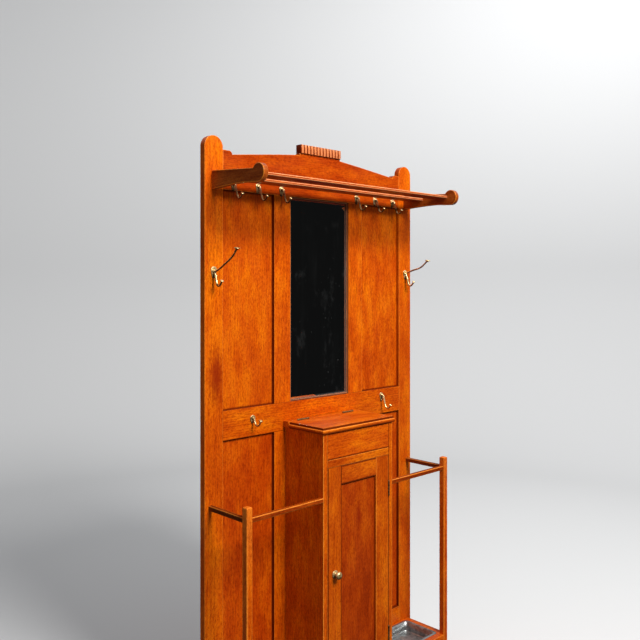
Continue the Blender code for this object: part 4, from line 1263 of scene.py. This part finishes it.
JOINTS = {joint["name"]: joint for joint in frame["record"]["behaviour"]["joints"]}
lid_pin = Vector(JOINTS["lid_hinge"]["pos_m"])
door_pin = Vector(JOINTS["door_hinge"]["pos_m"])
SEATS = {}
for label in SIDES:
    low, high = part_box(f"lid_hinge_fixed_{label}")
    SEATS[f"lid_hinge_%s_{label}"] = (Vector(((low.x + high.x) / 2, lid_pin.y, lid_pin.z)), (-90, 0, 90))
for label in ("bottom", "top"):
    low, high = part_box(f"door_hinge_fixed_{label}")
    SEATS[f"door_hinge_%s_{label}"] = (Vector((door_pin.x, door_pin.y, (low.z + high.z) / 2)), (0, 0, 0))
for name, (centre, degrees) in SEATS.items():
    turn = Matrix.LocRotScale(centre, None, None) @ Matrix.Rotation(math.radians(degrees[2]), 4, "Z")
    turn = turn @ Matrix.Rotation(math.radians(degrees[0]), 4, "X")
    for part, side, barrels in (("fixed", 1, (0, 2, 4)), ("leaf", -1, (1, 3))):
        bm = half_hinge(side, barrels, part == "fixed")
        bmesh.ops.transform(bm, matrix=turn, verts=bm.verts)
        finish_brass(name % part, bm, DULL_BRASS)
print("hinges:", len(SEATS))

# %% Door knob
KNOB = [                    # radius, and distance in front of the door
    (0.0130, 0.0000), (0.0130, 0.0012), (0.0122, 0.0022), (0.0098, 0.0030), (0.0072, 0.0040),
    (0.0057, 0.0055), (0.0053, 0.0072), (0.0058, 0.0090), (0.0074, 0.0107), (0.0098, 0.0126),
    (0.0117, 0.0148), (0.0125, 0.0174), (0.0122, 0.0200), (0.0108, 0.0224), (0.0082, 0.0243),
    (0.0045, 0.0256), (0.0000, 0.0260)]
low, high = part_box("door_knob")
bm = bmesh.new()
turned = [bm.verts.new((radius, 0, reach)) for radius, reach in [(0.0, 0.0)] + KNOB]
for first, second in zip(turned, turned[1:]):
    bm.edges.new((first, second))
bmesh.ops.spin(bm, geom=bm.verts[:] + bm.edges[:], cent=(0, 0, 0), axis=(0, 0, 1), dvec=(0, 0, 0),
               angle=math.radians(360), steps=40, use_merge=True, use_duplicate=False)
bmesh.ops.remove_doubles(bm, verts=bm.verts, dist=0.00001)
bmesh.ops.recalc_face_normals(bm, faces=bm.faces)
stand = Matrix.Translation(((low.x + high.x) / 2, high.y, (low.z + high.z) / 2))
bmesh.ops.transform(bm, matrix=stand @ Matrix.Rotation(math.radians(90), 4, "X"), verts=bm.verts)
finish_brass("door_knob", bm, OLD_BRASS, 60)
print("the knob stands", round(high.y - low.y, 3), "m out")

# %% Drip trays
TRAY_FLANGE = 0.010
TRAY_SHEET = 0.0012
TRAY_CORNER = 0.014
TRAY_FOOT = 0.005
for label in SIDES:
    node = f"drip_tray_{label}"
    low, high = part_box(node)
    middle = (low + high) / 2
    pan = Vector((high.x - low.x - 2 * TRAY_FLANGE, high.y - low.y - 2 * TRAY_FLANGE, high.z - low.z))
    bm = bmesh.new()
    box_of(bm, middle - pan / 2, middle + pan / 2)
    uprights = [edge for edge in bm.edges if abs(edge.verts[0].co.z - edge.verts[1].co.z) > 0.5 * pan.z]
    round_over(bm, uprights, TRAY_CORNER, 8)
    lid_faces = [face for face in bm.faces if face.normal.z > 0.9]
    bmesh.ops.delete(bm, geom=lid_faces, context="FACES_ONLY")
    foot = [edge for edge in bm.edges if all(vert.co.z < low.z + 0.0001 for vert in edge.verts)]
    round_over(bm, foot, TRAY_FOOT, 5)
    for reach, drop in ((0.0012, 0.0), (0.0075, 0.0), (0.0013, -0.0006)):
        rim = [edge for edge in bm.edges if edge.is_boundary]
        verts = verts_in(bmesh.ops.extrude_edge_only(bm, edges=rim)["geom"])
        width = max(vert.co.x for vert in verts) - middle.x
        length = max(vert.co.y for vert in verts) - middle.y
        scale_about(bm, verts, ((width + reach) / width, (length + reach) / length), middle)
        bmesh.ops.translate(bm, vec=(0, 0, drop), verts=verts)
    bmesh.ops.recalc_face_normals(bm, faces=bm.faces)
    shade_smooth(bm)
    tray = piece(f"{node}_pressed", bm, ZINC, node)
    wall = tray.modifiers.new("sheet", "SOLIDIFY")
    wall.thickness = TRAY_SHEET
    wall.offset = -1
    wall.use_even_offset = True
print("trays are", [round(side, 3) for side in high - low], "m")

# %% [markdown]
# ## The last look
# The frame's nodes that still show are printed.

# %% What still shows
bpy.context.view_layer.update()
shown = [name for name, thing in frame["nodes"].items() if not thing.hide_render]
print("carried-over nodes still showing:", shown)
